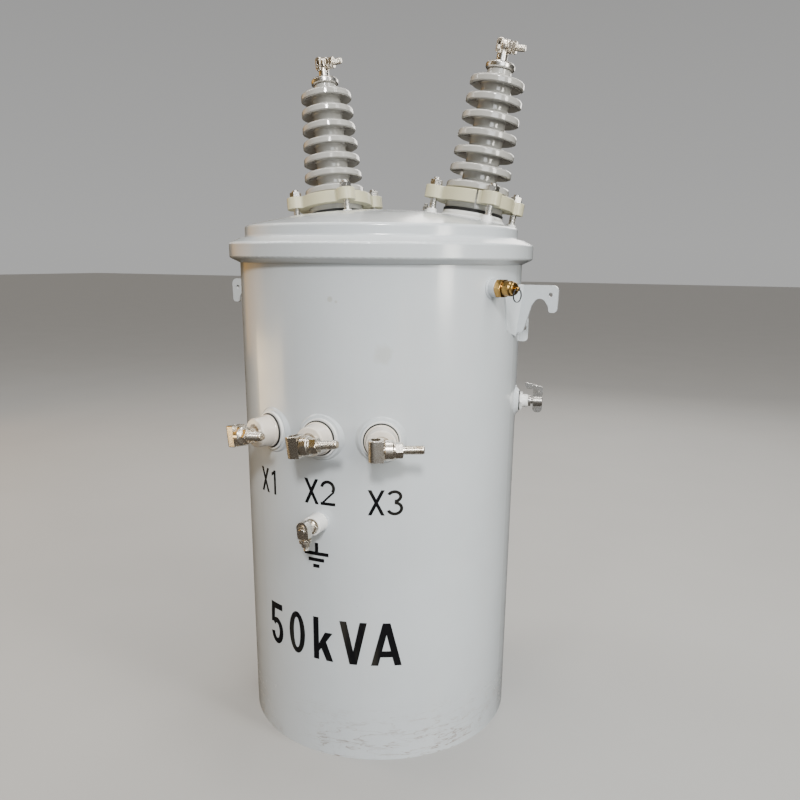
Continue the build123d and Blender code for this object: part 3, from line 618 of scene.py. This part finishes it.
def make_paint_film():
    """Sprayed enamel: slow changes of tone, orange peel, dust, fine scratches and scuffs near the foot."""
    group, tree, given, out = effect(
        "Paint Film",
        [("Colour", "colour", (0.6, 0.6, 0.6, 1)), ("Peel", "value", 260.0), ("Dust", "value", 0.3),
         ("Scuffs", "value", 0.0)],
        [("Colour", "colour"), ("Roughness", "value"), ("Height", "value")],
    )
    spot = tree.add("ShaderNodeTexCoord").outputs["Object"]
    tone = tree.noise(spot, 5.5, 4.0, 0.55)
    streaks = tree.add("ShaderNodeMapping", {"Vector": spot, "Scale": (9.0, 9.0, 1.3)}).outputs[0]
    runs = tree.noise(streaks, 2.4, 5.0, 0.6)
    dark = tree.add("ShaderNodeHueSaturation", {"Value": 0.93, "Color": given["Colour"]}).outputs[0]
    warm = tree.blend(0.10, given["Colour"], (0.62, 0.56, 0.42, 1))
    body = tree.blend(tree.fade(tone, 0.35, 0.7), given["Colour"], dark)
    body = tree.blend(tree.fade(runs, 0.48, 0.75, 0.0, 0.55), body, warm)
    specks = tree.add("ShaderNodeTexVoronoi", {"Vector": spot, "Scale": 95.0}).outputs["Distance"]
    dusty = tree.fade(tree.noise(spot, 31.0), 0.56, 0.66)
    speck_mask = tree.math("MULTIPLY", tree.fade(specks, 0.10, 0.04), dusty)
    speck_mask = tree.math("MULTIPLY", speck_mask, given["Dust"])
    body = tree.blend(speck_mask, body, (0.16, 0.15, 0.13, 1))
    height = tree.add("ShaderNodeSeparateXYZ", {0: spot}).outputs["Z"]
    low = tree.fade(height, 0.11, 0.01)
    stretched = tree.add("ShaderNodeMapping", {"Vector": spot, "Scale": (7.0, 7.0, 42.0)}).outputs[0]
    drift = tree.math("ABSOLUTE", tree.math("SUBTRACT", tree.noise(stretched, 1.7, 3.0, 0.55), 0.5))
    scratches = tree.fade(drift, 0.018, 0.003)
    patches = tree.fade(tree.noise(spot, 9.0, 3.0), 0.42, 0.54)
    grime = tree.math("MULTIPLY", tree.fade(tree.noise(spot, 46.0, 5.0, 0.7), 0.52, 0.72), 0.35)
    scuff = tree.math("MULTIPLY", tree.math("MULTIPLY", tree.math("MAXIMUM", scratches, grime), patches), low)
    scuff = tree.math("MULTIPLY", scuff, given["Scuffs"])
    for place, reach, depth in STAINS:
        away = tree.add("ShaderNodeVectorMath", {0: spot, 1: place}, operation="DISTANCE").outputs["Value"]
        away = tree.math("ADD", away, tree.math("MULTIPLY", tree.noise(spot, 70.0), reach))
        mark = tree.math("MULTIPLY", tree.fade(away, reach * 1.3, reach * 0.9, 0.0, depth), given["Scuffs"])
        body = tree.blend(mark, body, (0.36, 0.34, 0.25, 1))
    body = tree.blend(scuff, body, (0.24, 0.18, 0.14, 1))
    tree.join(body, out["Colour"])
    rough = tree.fade(tree.noise(spot, 38.0, 3.0), 0.3, 0.7, 0.17, 0.27)
    rough = tree.math("ADD", rough, tree.math("MULTIPLY", tree.math("ADD", scuff, speck_mask), 0.35))
    tree.join(rough, out["Roughness"])
    peel = tree.noise(spot, given["Peel"], 2.0, 0.45)
    waves = tree.math("MULTIPLY", tree.noise(spot, 14.0, 2.0, 0.4), 3.0)
    tree.join(tree.math("SUBTRACT", tree.math("ADD", peel, waves), scuff), out["Height"])
    return group


def make_cast_grain():
    """Sand-cast or plated metal: grain, darker hollows and rubbed bright spots."""
    group, tree, given, out = effect(
        "Cast Grain",
        [("Bright", "colour", (0.7, 0.68, 0.6, 1)), ("Dull", "colour", (0.35, 0.32, 0.25, 1)),
         ("Grain", "value", 420.0), ("Wear", "value", 0.5), ("Roughness", "value", 0.3)],
        [("Colour", "colour"), ("Roughness", "value"), ("Height", "value")],
    )
    spot = tree.add("ShaderNodeTexCoord").outputs["Object"]
    grain = tree.noise(spot, given["Grain"], 5.0, 0.6)
    cloud = tree.noise(spot, 55.0, 4.0, 0.6)
    mask = tree.math("MULTIPLY", tree.fade(cloud, 0.40, 0.68), given["Wear"])
    mask = tree.math("ADD", mask, tree.math("MULTIPLY", tree.fade(grain, 0.5, 0.3), 0.25))
    tree.join(tree.blend(mask, given["Bright"], given["Dull"]), out["Colour"])
    spread = tree.fade(grain, 0.3, 0.7, -0.07, 0.10)
    spread = tree.math("ADD", spread, tree.math("MULTIPLY", mask, 0.18))
    tree.join(tree.math("ADD", spread, given["Roughness"]), out["Roughness"])
    tree.join(tree.math("ADD", grain, cloud), out["Height"])
    return group


def make_fired_glaze():
    """Fired glaze: soft waves, tiny pits and a little dust in the colour."""
    group, tree, given, out = effect(
        "Fired Glaze",
        [("Colour", "colour", (0.6, 0.6, 0.6, 1)), ("Shade", "colour", (0.4, 0.4, 0.4, 1)),
         ("Pits", "value", 0.4)],
        [("Colour", "colour"), ("Roughness", "value"), ("Height", "value")],
    )
    spot = tree.add("ShaderNodeTexCoord").outputs["Object"]
    cloud = tree.fade(tree.noise(spot, 22.0, 4.0, 0.6), 0.35, 0.72)
    body = tree.blend(tree.math("MULTIPLY", cloud, 0.5), given["Colour"], given["Shade"])
    cells = tree.add("ShaderNodeTexVoronoi", {"Vector": spot, "Scale": 210.0}).outputs["Distance"]
    pits = tree.math("MULTIPLY", tree.fade(cells, 0.09, 0.03), tree.fade(tree.noise(spot, 60.0), 0.58, 0.66))
    pits = tree.math("MULTIPLY", pits, given["Pits"])
    tree.join(tree.blend(pits, body, (0.14, 0.12, 0.10, 1)), out["Colour"])
    tree.join(tree.fade(tree.noise(spot, 90.0), 0.3, 0.7, 0.08, 0.17), out["Roughness"])
    soft = tree.noise(spot, 34.0, 2.0, 0.35)
    tree.join(tree.math("SUBTRACT", soft, pits), out["Height"])
    return group


def finish(name, group, values, bump, distance, shader, edge=None):
    """Material fed by one effect. Edge is how wide its corners shade round."""
    material = bpy.data.materials.new(name)
    material.use_nodes = True
    material.node_tree.nodes.clear()
    tree = Tree(material.node_tree)
    source = tree.add("ShaderNodeGroup", node_tree=group)
    for key, value in values.items():
        source.inputs[key].default_value = value
    relief = {"Strength": bump, "Distance": distance, "Height": source.outputs["Height"]}
    if edge:
        relief["Normal"] = tree.add("ShaderNodeBevel", {"Radius": edge}, samples=6).outputs[0]
    raised = tree.add("ShaderNodeBump", relief)
    surface = tree.add("ShaderNodeBsdfPrincipled", {
        "Base Color": source.outputs["Colour"],
        "Roughness": source.outputs["Roughness"],
        "Normal": raised.outputs[0],
        **shader,
    })
    tree.join(surface.outputs[0], tree.add("ShaderNodeOutputMaterial").inputs["Surface"])
    return material


def colour(value):
    return (value[0], value[1], value[2], 1.0)


def make_finishes():
    """Every finish of the object, by the name of the slot it belongs to."""
    paint = settings("paint")
    film, grain, glaze = make_paint_film(), make_cast_grain(), make_fired_glaze()
    enamel = {"Coat Weight": 0.55, "Coat Roughness": 0.14, "Specular IOR Level": 0.5}
    metal = {"Metallic": 1.0}
    return {
        "tank_paint": finish(
            "Tank Enamel", film, {"Colour": colour(paint.tank), "Dust": 0.35, "Scuffs": paint.scuffs},
            0.10, 0.0006, enamel,
        ),
        "seat_paint": finish(
            "White Enamel", film, {"Colour": colour(paint.seat), "Peel": 480.0, "Dust": 0.5},
            0.16, 0.0005, enamel,
        ),
        "ring_paint": finish(
            "Ring Enamel", film, {"Colour": colour(paint.ring), "Peel": 620.0, "Dust": 0.6},
            0.35, 0.0006, {"Coat Weight": 0.15, "Coat Roughness": 0.3},
        ),
        "hv_glaze": finish(
            "Grey Glaze", glaze, {"Colour": colour(paint.hv_glaze), "Shade": (0.33, 0.32, 0.29, 1)},
            0.12, 0.0008, {"Coat Weight": 0.8, "Coat Roughness": 0.05},
        ),
        "lv_glaze": finish(
            "Cream Glaze", glaze, {"Colour": colour(paint.lv_glaze), "Shade": (0.70, 0.61, 0.50, 1)},
            0.12, 0.0008, {"Coat Weight": 0.7, "Coat Roughness": 0.06},
        ),
        "zinc": finish(
            "Zinc Plate", grain,
            {"Bright": (0.70, 0.69, 0.67, 1), "Dull": (0.36, 0.33, 0.28, 1), "Wear": 0.6, "Roughness": 0.19},
            0.05, 0.0003, metal, 0.0005,
        ),
        "tinned_bronze": finish(
            "Tinned Bronze", grain,
            {"Bright": (0.82, 0.78, 0.71, 1), "Dull": (0.38, 0.29, 0.18, 1), "Grain": 520.0, "Wear": 0.5,
             "Roughness": 0.20},
            0.04, 0.0004, metal, 0.0005,
        ),
        "brass": finish(
            "Turned Brass", grain,
            {"Bright": (0.52, 0.32, 0.10, 1), "Dull": (0.18, 0.10, 0.03, 1), "Grain": 300.0, "Wear": 0.7,
             "Roughness": 0.17},
            0.12, 0.0002, metal, 0.0005,
        ),
        "dark_steel": finish(
            "Blackened Steel", grain,
            {"Bright": (0.05, 0.05, 0.055, 1), "Dull": (0.02, 0.02, 0.02, 1), "Roughness": 0.30},
            0.10, 0.0002, metal,
        ),
        "gasket": finish(
            "Black Rubber", grain,
            {"Bright": (0.022, 0.022, 0.022, 1), "Dull": (0.045, 0.043, 0.04, 1), "Roughness": 0.62},
            0.25, 0.0003, {"Specular IOR Level": 0.3},
        ),
        "marking": finish(
            "Marking Paint", film, {"Colour": (0.008, 0.008, 0.009, 1), "Peel": 700.0, "Dust": 0.0},
            0.12, 0.0003, {"Specular IOR Level": 0.03},
        ),
    }


FINISHES = {}


class TRANSFORMER_OT_finishes(Operator):
    """Make the finishes and put them on every node of the frame"""

    bl_idname = "transformer.finishes"
    bl_label = "Finishes"

    def execute(self, context):
        FINISHES.update(make_finishes())
        slots = {part["node"]: part["material_slot"] for part in frame["record"]["subparts"]}
        for name, node in NODES.items():
            node.data.materials.clear()
            node.data.materials.append(FINISHES[slots[name]])
            node.data.shade_smooth()
            node.data.set_sharp_from_angle(angle=radians(30))
        return {"FINISHED"}


class TRANSFORMER_OT_markings(Operator):
    """Stencil the terminal markings, the earth symbol and the rating on the tank"""

    bl_idname = "transformer.markings"
    bl_label = "Markings"

    def execute(self, context):
        sizes = settings("markings")
        film = sizes.film
        paint = FINISHES["marking"]
        tall = sizes.terminal_height
        stroke = tall * TERMINAL_STROKE
        for digit, azimuth, foot, wide_x, left, wide in TERMINAL_SIGNS:
            signs = [("X", TERMINAL_LEFT, wide_x, tall, stroke), (digit, left, wide, tall, stroke)]
            write_marking(f"terminal_marking_{digit}", signs, azimuth, foot, film, paint)
        tall = sizes.rating_height
        stroke = tall * RATING_STROKE
        signs = [(sign, left, width, tall, stroke) for sign, left, width in RATING_SIGNS]
        write_marking("rating_marking", signs, RATING_AZIMUTH, RATING_FOOT, film, paint)
        bm = bmesh.new()
        left, right = EARTH_STEM_SIDE - EARTH_LINE / 2, EARTH_STEM_SIDE + EARTH_LINE / 2
        strokes = [bar((left, -EARTH_STEM_LENGTH), (right, -EARTH_STEM_LENGTH), (right, 0), (left, 0))]
        for level, half in EARTH_BARS:
            low, high = level - EARTH_LINE / 2, level + EARTH_LINE / 2
            strokes.append(bar((-half, low), (-half, high), (half, high), (half, low)))
        for inner, outer in strokes:
            ribbon(bm, inner, outer, EARTH_SIGN_AZIMUTH, EARTH_SIGN_TOP, film)
        piece_from(bm, "earth_marking", "tank", paint, smooth=False)
        return {"FINISHED"}


def screw(name, slot, bars, pitch):
    """Threads on bars, each given as (place, radius, start, end) along the place's Z."""
    bm = bmesh.new()
    for place, radius, start, end in bars:
        thread(bm, place, radius, start, end, pitch)
    return piece_from(bm, name, "tank", FINISHES[slot])


class TRANSFORMER_OT_threads(Operator):
    """Cut the threads of the terminal bolts, the studs and the band bolt"""

    bl_idname = "transformer.threads"
    bl_label = "Threads"

    def execute(self, context):
        sizes = settings("fittings")
        sideways = turned(90, "Y")
        for number, (azimuth, turn) in enumerate(zip(LV_AZIMUTHS, LV_TURNS), 1):
            place = on_tank(azimuth, LV_HEIGHT) @ turned(turn, "Z") @ shifted(z=LV_REACH) @ sideways
            screw(f"lv_thread_{number}", "tinned_bronze", [(place, *LV_SHANK)], sizes.coarse_pitch)
        for side in ("right", "left"):
            turn = turned(HV_TERMINAL_TURN[side], "Z")
            place = on_bushing(side) @ shifted(z=HV_TERMINAL_HEIGHT) @ turn @ sideways
            screw(f"hv_thread_{side}", "tinned_bronze", [(place, *HV_SHANK)], sizes.fine_pitch)
        place = on_tank(EARTH_AZIMUTH, EARTH_HEIGHT) @ shifted(z=EARTH_BOLT_REACH) @ turned(EARTH_LEAN, "Z")
        screw("earth_thread", "tinned_bronze", [(place @ turned(90, "X"), *EARTH_SHANK)], EARTH_PITCH)
        bars = []
        for place in stud_places():
            bars.append((place, STUD_RADIUS, STUD_COLLAR_HEIGHT + 0.001, RING_BASE))
            bars.append((place, STUD_RADIUS, NUT_TOP, STUD_TOP))
        screw("stud_threads", "zinc", bars, sizes.fine_pitch)
        place = shifted(y=BAND_BOLT_REACH, z=BAND_HEIGHT) @ sideways
        screw("band_thread", "zinc", [(place, *BAND_SHANK)], sizes.fine_pitch)
        return {"FINISHED"}


def straight(start, end):
    """Path from one point to another."""
    return lambda f: Vector(start) + (Vector(end) - Vector(start)) * f


def round_boss(azimuth, height, radius):
    """Path round a boss, where it meets the tank's wall."""
    place = on_tank(azimuth, height, 0)

    def path(f):
        x, y = radius * cos(2 * pi * f), radius * sin(2 * pi * f)
        return place @ Vector((x, y, sqrt(TANK_RADIUS**2 - x**2)))

    return path


def round_foot(place, radius):
    """Path round an upright piece, where it meets the dome."""

    def path(f):
        low, high = -0.03, 0.03
        for _ in range(24):
            middle = (low + high) / 2
            point = on_circle(place, radius, 2 * pi * f, middle)
            if point.z > dome_height(hypot(point.x, point.y)):
                high = middle
            else:
                low = middle
        return point

    return path


def round_hoop(radius, height):
    """Path round the tank's axis."""
    return lambda f: Vector((radius * cos(2 * pi * f), radius * sin(2 * pi * f), height))


def up_wall(azimuth, low, high, sideways=0.0):
    """Path up the wall, a little to one side of an azimuth."""
    place = on_tank(azimuth, 0, 0)
    out = sqrt(TANK_RADIUS**2 - sideways**2)
    return straight(place @ Vector((sideways, low, out)), place @ Vector((sideways, high, out)))


def lay_beads(name, beads, scale=1.0):
    """One piece of weld beads, each given as (path, length, closed)."""
    bm = bmesh.new()
    seed = settings("fittings").seed
    for number, (path, length, closed) in enumerate(beads):
        bead(bm, path, length, seed + number * 13, closed, scale)
    return piece_from(bm, name, "tank", FINISHES["tank_paint"])


class TRANSFORMER_OT_welds(Operator):
    """Lay the painted weld beads of lugs, hangers, bosses, seats and seams"""

    bl_idname = "transformer.welds"
    bl_label = "Welds"

    def execute(self, context):
        side_face = LUG_THICKNESS / 2 + 0.001
        lugs = []
        for azimuth, sign in ((90, 1), (-90, -1)):
            root = up_wall(azimuth, LUG_FOOT + 0.004, LUG_TOP, sign * side_face)
            lugs.append((root, LUG_TOP - LUG_FOOT, False))
            top = on_tank(sign * (WING_TOP - 0.9), LUG_TOP).to_translation()
            foot = on_tank(sign * (WING_FOOT - 0.9), WING_FOOT_HEIGHT).to_translation()
            lugs.append((straight(foot, top), LUG_TOP - WING_FOOT_HEIGHT, False))
        lay_beads("lug_welds", lugs)
        hangers = []
        for height in HANGER_HEIGHTS:
            for sign in (-1, 1):
                low, high = height - HANGER_HALF_HEIGHT, height + HANGER_HALF_HEIGHT
                edge = up_wall(180, low, high, sign * (HANGER_HALF_WIDTH + 0.001))
                hangers.append((edge, high - low, False))
        lay_beads("hanger_welds", hangers, 1.25)
        face = BRACKET_THICKNESS / 2 + 0.0005
        top = BRACKET_FOOT + BRACKET_HEIGHT
        sides = []
        for sign in (-1, 1):
            sides.append((up_wall(BRACKET_AZIMUTH, BRACKET_FOOT, top, sign * face), BRACKET_HEIGHT, False))
        lay_beads("bracket_welds", sides, 0.8)
        for name, azimuth, height, radius, scale in (
            ("earth", EARTH_AZIMUTH, EARTH_HEIGHT, EARTH_BOSS_RADIUS, 1.0),
            ("relief", RELIEF_AZIMUTH, RELIEF_HEIGHT, RELIEF_BOSS_RADIUS, 1.35),
            ("tap", TAP_AZIMUTH, TAP_HEIGHT, TAP_BOSS_RADIUS, 0.5),
        ):
            lay_beads(f"{name}_weld", [(round_boss(azimuth, height, radius), 2 * pi * radius, True)], scale)
        seats = []
        for side in ("right", "left"):
            seats.append((round_foot(on_bushing(side), HV_SEAT_RADIUS), 2 * pi * HV_SEAT_RADIUS, True))
        lay_beads("seat_welds", seats, 0.6)
        seams = [(up_wall(SEAM_AZIMUTH, SEAM_FOOT, SEAM_TOP), SEAM_TOP - SEAM_FOOT, False)]
        lay_beads("tank_seam", seams)
        lay_beads("bottom_weld", [(round_hoop(BOTTOM_RADIUS, BOTTOM_HEIGHT), 2 * pi * BOTTOM_RADIUS, True)])
        return {"FINISHED"}


def hexagon(bm, place, flats, low, high, edge=0.0008):
    """Nut blank about a place's Z, with its corners taken off at both ends."""
    corner, end = flats / sqrt(3), flats / 2 - edge / 2
    turn = [pi / 3 * i for i in range(6)]
    rings = []
    for height, radius in ((low, end), (low + edge, corner), (high - edge, corner), (high, end)):
        rings.append([bm.verts.new(on_circle(place, radius, t, height)) for t in turn])
    for a, b in zip(rings, rings[1:]):
        bridge(bm, a, b)
    bm.faces.new(rings[0])
    bm.faces.new(list(reversed(rings[-1])))


def hoop(place, radius, height=0.0, steps=72):
    """Points of a level circle about a place's Z."""
    return [on_circle(place, radius, 2 * pi * i / steps, height) for i in range(steps)]


def make_split_ring():
    """Pull ring of two turns of wire that cross over at one place."""
    hung = shifted(y=PULL_RING_SAG - PULL_RING_RADIUS, z=PULL_RING_REACH)
    place = on_tank(RELIEF_AZIMUTH, RELIEF_HEIGHT) @ hung
    points = []
    for i in range(161):
        t = SPLIT_END + (4 * pi - 2 * SPLIT_END) * i / 160
        step = min(max((t - 2 * pi) / SPLIT_CROSSING + 0.5, 0), 1)
        rise = (step * step * (3 - 2 * step) - 0.5) * 2 * PULL_WIRE
        points.append(on_circle(place, PULL_RING_RADIUS, t + SPLIT_TURN, rise * 1.05))
    bm = bmesh.new()
    tube(bm, points, [PULL_WIRE] * len(points), sides=10)
    steel = FINISHES["dark_steel"]
    return piece_from(bm, "split_ring", "pull_ring", steel, replaced=("pull_ring",))


def make_cover_stud():
    """Small stud with a nut on the cover, beside the right clamp ring."""
    x, y = COVER_STUD
    place = shifted(x, y, dome_height(hypot(x, y)))
    bm = bmesh.new()
    foot = [(0.0062, -0.001), (0.0062, 0.0016), (0.0052, 0.0030), (0.0034, 0.0032), (0.0034, 0.0055)]
    lathe(bm, place, foot, 32)
    piece_from(bm, "cover_stud_foot", "tank", FINISHES["seat_paint"])
    bm = bmesh.new()
    lathe(bm, place, [(0.0068, 0.0052), (0.0068, 0.0063), (0.0032, 0.0063)], 32)
    hexagon(bm, place, 0.0105, 0.0063, 0.0118)
    lathe(bm, place, [(0.0030, 0.0110), (0.0030, 0.0162), (0.0024, 0.0168), (0, 0.0168)], 28)
    thread(bm, place, 0.0030, 0.0119, 0.0160, 0.001)
    return piece_from(bm, "cover_stud", "tank", FINISHES["zinc"])


def make_gasket_lips():
    """Rounded lips of the gaskets, squeezed out past their seats."""
    bm = bmesh.new()
    seats = []
    for side in ("right", "left"):
        for height in (HV_GASKET_LOW + GASKET_LIP, HV_GASKET_HIGH - GASKET_LIP):
            seats.append((on_bushing(side), HV_GASKET_RADIUS, height))
    for azimuth in LV_AZIMUTHS:
        seats.append((on_tank(azimuth, LV_HEIGHT), LV_GASKET_RADIUS, LV_GASKET_FOOT + GASKET_LIP))
    for place, radius, height in seats:
        circle = hoop(place, radius, height)
        tube(bm, circle, [GASKET_LIP] * len(circle), sides=10, closed=True)
    return piece_from(bm, "gasket_lips", "tank", FINISHES["gasket"])


def make_stud_shoes():
    """White coat over the welded foot of each stud."""
    bm = bmesh.new()
    radius, top = STUD_COLLAR_RADIUS + 0.0004, STUD_COLLAR_HEIGHT + 0.0005
    for place in stud_places():
        shoe = [(radius, -0.006), (radius, top - 0.0015), (radius - 0.0014, top), (0.0054, top)]
        lathe(bm, place, shoe, 32)
    return piece_from(bm, "stud_shoes", "tank", FINISHES["seat_paint"])


class TRANSFORMER_OT_fittings(Operator):
    """Make the split ring, the cover's stud, the gaskets' lips and the coated feet of the studs"""

    bl_idname = "transformer.fittings"
    bl_label = "Small Fittings"

    def execute(self, context):
        make_split_ring()
        make_cover_stud()
        make_gasket_lips()
        make_stud_shoes()
        return {"FINISHED"}


class TRANSFORMER_OT_stage(Operator):
    """Set up the pale floor, the soft lights and the camera"""

    bl_idname = "transformer.stage"
    bl_label = "Stage"

    def execute(self, context):
        set_floor()
        set_world()
        set_lights()
        set_camera(settings("stage"))
        return {"FINISHED"}


def seen_or_bounced(tree, seen, bounced):
    """A stage colour for the camera, and another for the light that it throws back on the object."""
    straight_on = tree.add("ShaderNodeLightPath").outputs["Is Camera Ray"]
    return tree.blend(straight_on, bounced, seen)


def set_floor():
    bm = bmesh.new()
    bmesh.ops.create_grid(bm, x_segments=8, y_segments=8, size=30)
    mesh = bpy.data.meshes.new("floor")
    bm.to_mesh(mesh)
    bm.free()
    floor = bpy.data.objects.new("floor", mesh)
    floor.location.z = FLOOR
    bpy.context.scene.collection.objects.link(floor)
    material = bpy.data.materials.new("Pale Floor")
    material.use_nodes = True
    tree = Tree(material.node_tree)
    spot = tree.add("ShaderNodeTexCoord").outputs["Object"]
    pale = tree.blend(tree.noise(spot, 3.0, 4.0), (0.37, 0.368, 0.362, 1), (0.40, 0.398, 0.392, 1))
    shader = material.node_tree.nodes["Principled BSDF"]
    tree.join(seen_or_bounced(tree, pale, (0.05, 0.045, 0.04, 1)), shader.inputs["Base Color"])
    shader.inputs["Roughness"].default_value = 0.7
    shader.inputs["Specular IOR Level"].default_value = 0.15
    mesh.materials.append(material)


def add_softbox(name, place, target, width, height, power, tint):
    """Rectangular soft light that looks at a target."""
    light = bpy.data.lights.new(name, "AREA")
    light.shape = "RECTANGLE"
    light.size, light.size_y = width, height
    light.energy = power
    light.color = tint
    lamp = bpy.data.objects.new(name, light)
    bpy.context.scene.collection.objects.link(lamp)
    lamp.location = place
    lamp.rotation_mode = "QUATERNION"
    lamp.rotation_quaternion = (Vector(target) - Vector(place)).to_track_quat("-Z", "Y")


def set_world():
    """Pale backdrop, with surroundings that are patchy, light above and dark towards the horizon."""
    world = bpy.data.worlds.new("Soft Studio")
    bpy.context.scene.world = world
    world.use_nodes = True
    tree = Tree(world.node_tree)
    direction = tree.add("ShaderNodeTexCoord").outputs["Generated"]
    towards = tree.add("ShaderNodeSeparateXYZ", {0: direction}).outputs
    up = towards["Z"]
    warm, cool, horizon = (0.56, 0.34, 0.05, 1), (0.52, 0.55, 0.60, 1), (0.14, 0.13, 0.105, 1)
    above = tree.blend(tree.fade(towards["X"], -0.55, 0.10), warm, cool)
    shade = tree.blend(tree.fade(up, -0.05, 0.75), horizon, above)
    patches = tree.fade(tree.noise(direction, 3.4, 2.0), 0.42, 0.55)
    shade = tree.blend(patches, shade, tree.blend(1.0, shade, (0.18, 0.17, 0.16, 1), "MULTIPLY"))
    background = world.node_tree.nodes["Background"]
    backdrop = tree.blend(tree.fade(up, 0.02, 0.55), (0.58, 0.58, 0.575, 1), (0.34, 0.335, 0.33, 1))
    tree.join(seen_or_bounced(tree, backdrop, shade), background.inputs["Color"])
    background.inputs["Strength"].default_value = settings("stage").ambient


def from_front(azimuth, elevation, distance, height=0.0):
    """Point round the object, azimuth in degrees from the front."""
    a, e = radians(azimuth), radians(elevation)
    return Vector((sin(a) * cos(e), -cos(a) * cos(e), sin(e))) * distance + Vector((0, 0, height))


def set_lights():
    """A soft sky light, five strips under the roof and soft boxes round the object."""
    bright = settings("stage").brightness
    sun = bpy.data.lights.new("sky_light", "SUN")
    sun.energy = 2.3 * bright
    sun.angle = radians(8)
    sun.color = (1.0, 0.99, 0.97)
    lamp = bpy.data.objects.new("sky_light", sun)
    bpy.context.scene.collection.objects.link(lamp)
    lamp.rotation_mode = "QUATERNION"
    lamp.rotation_quaternion = (-from_front(24, 34, 1)).to_track_quat("-Z", "Y")
    day = (1.0, 0.985, 0.95)
    for number, x in enumerate((-2.1, -1.05, 0, 1.05, 2.1), 1):
        add_softbox(f"roof_strip_{number}", (x, -0.2, 3.6), (x * 0.5, 0, 0.9), 0.22, 4.4, 29 * bright, day)
    middle = (0, 0, 0.6)
    for name, place, target, width, height, power, tint in (
        ("right_window", from_front(74, 0, 3.2, 1.5), (0, 0, 0.7), 0.7, 1.9, 60, (1.0, 0.97, 0.88)),
        ("front_light", from_front(40, 22, 3.5, 0.6), middle, 1.4, 1.4, 32, (0.93, 0.97, 1.0)),
        ("low_light", from_front(16, 6, 3.4, 0.5), middle, 4.2, 1.9, 9, (0.92, 0.965, 1.0)),
        ("left_light", from_front(-98, 14, 3.2, 0.6), middle, 2.2, 2.2, 10, (1.0, 0.50, 0.08)),
        ("left_low_light", from_front(-75, 5, 2.4, 0.1), (0, 0, 0.1), 1.6, 0.4, 9, (1.0, 0.74, 0.40)),
        ("back_light", from_front(180, 30, 3.6, 0.4), middle, 2.4, 1.6, 40, (1.0, 0.97, 0.92)),
    ):
        add_softbox(name, place, target, width, height, power * bright, tint)


def set_camera(sizes):
    """Camera where the photograph was taken, in the tank's own frame."""
    data = bpy.data.cameras.new("camera")
    camera = bpy.data.objects.new("camera", data)
    bpy.context.scene.collection.objects.link(camera)
    bpy.context.scene.camera = camera
    data.lens = sizes.lens
    data.sensor_width = 36
    data.sensor_fit = "HORIZONTAL"
    data.shift_y = sizes.rise
    heading = sizes.side - sizes.turn
    right = Vector((cos(heading), sin(heading), 0))
    ahead = Vector((-sin(heading) * cos(sizes.tilt), cos(heading) * cos(sizes.tilt), -sin(sizes.tilt)))
    up = right.cross(ahead)
    tilted_right = right * cos(sizes.roll) + up * sin(sizes.roll)
    tilted_up = up * cos(sizes.roll) - right * sin(sizes.roll)
    stand = Vector((sin(sizes.side) * sizes.distance, -cos(sizes.side) * sizes.distance, sizes.height))
    camera.matrix_world = place_from(stand, tilted_right, tilted_up, -ahead)
    data.clip_end = 50


class TRANSFORMER_PT_panel(Panel):
    """Lists the steps and their settings"""

    bl_label = "Transformer"
    bl_idname = "TRANSFORMER_PT_panel"
    bl_space_type = "VIEW_3D"
    bl_region_type = "UI"
    bl_category = "Transformer"

    def draw(self, context):
        layout = self.layout
        for group in SETTINGS:
            box = layout.box()
            box.label(text=group.capitalize())
            owner = settings(group)
            for name in owner.bl_rna.properties.keys():
                if name not in ("rna_type", "name"):
                    box.prop(owner, name)
        for operator in STEPS:
            layout.operator(operator.bl_idname)


SETTINGS = {
    "paint": PaintSettings,
    "markings": MarkingSettings,
    "fittings": FittingSettings,
    "stage": StageSettings,
}
STEPS = [
    TRANSFORMER_OT_stage,
    TRANSFORMER_OT_finishes,
    TRANSFORMER_OT_markings,
    TRANSFORMER_OT_threads,
    TRANSFORMER_OT_welds,
    TRANSFORMER_OT_fittings,
]


def register():
    for group in SETTINGS.values():
        bpy.utils.register_class(group)
    for step in STEPS:
        bpy.utils.register_class(step)
    bpy.utils.register_class(TRANSFORMER_PT_panel)
    for name, group in SETTINGS.items():
        setattr(bpy.types.Scene, f"transformer_{name}", PointerProperty(type=group))


def unregister():
    for name in SETTINGS:
        delattr(bpy.types.Scene, f"transformer_{name}")
    bpy.utils.unregister_class(TRANSFORMER_PT_panel)
    for step in reversed(STEPS):
        bpy.utils.unregister_class(step)
    for group in reversed(list(SETTINGS.values())):
        bpy.utils.unregister_class(group)


def main():
    register()
    for step in STEPS:
        family, action = step.bl_idname.split(".")
        getattr(getattr(bpy.ops, family), action)()


if __name__ == "__main__":
    main()
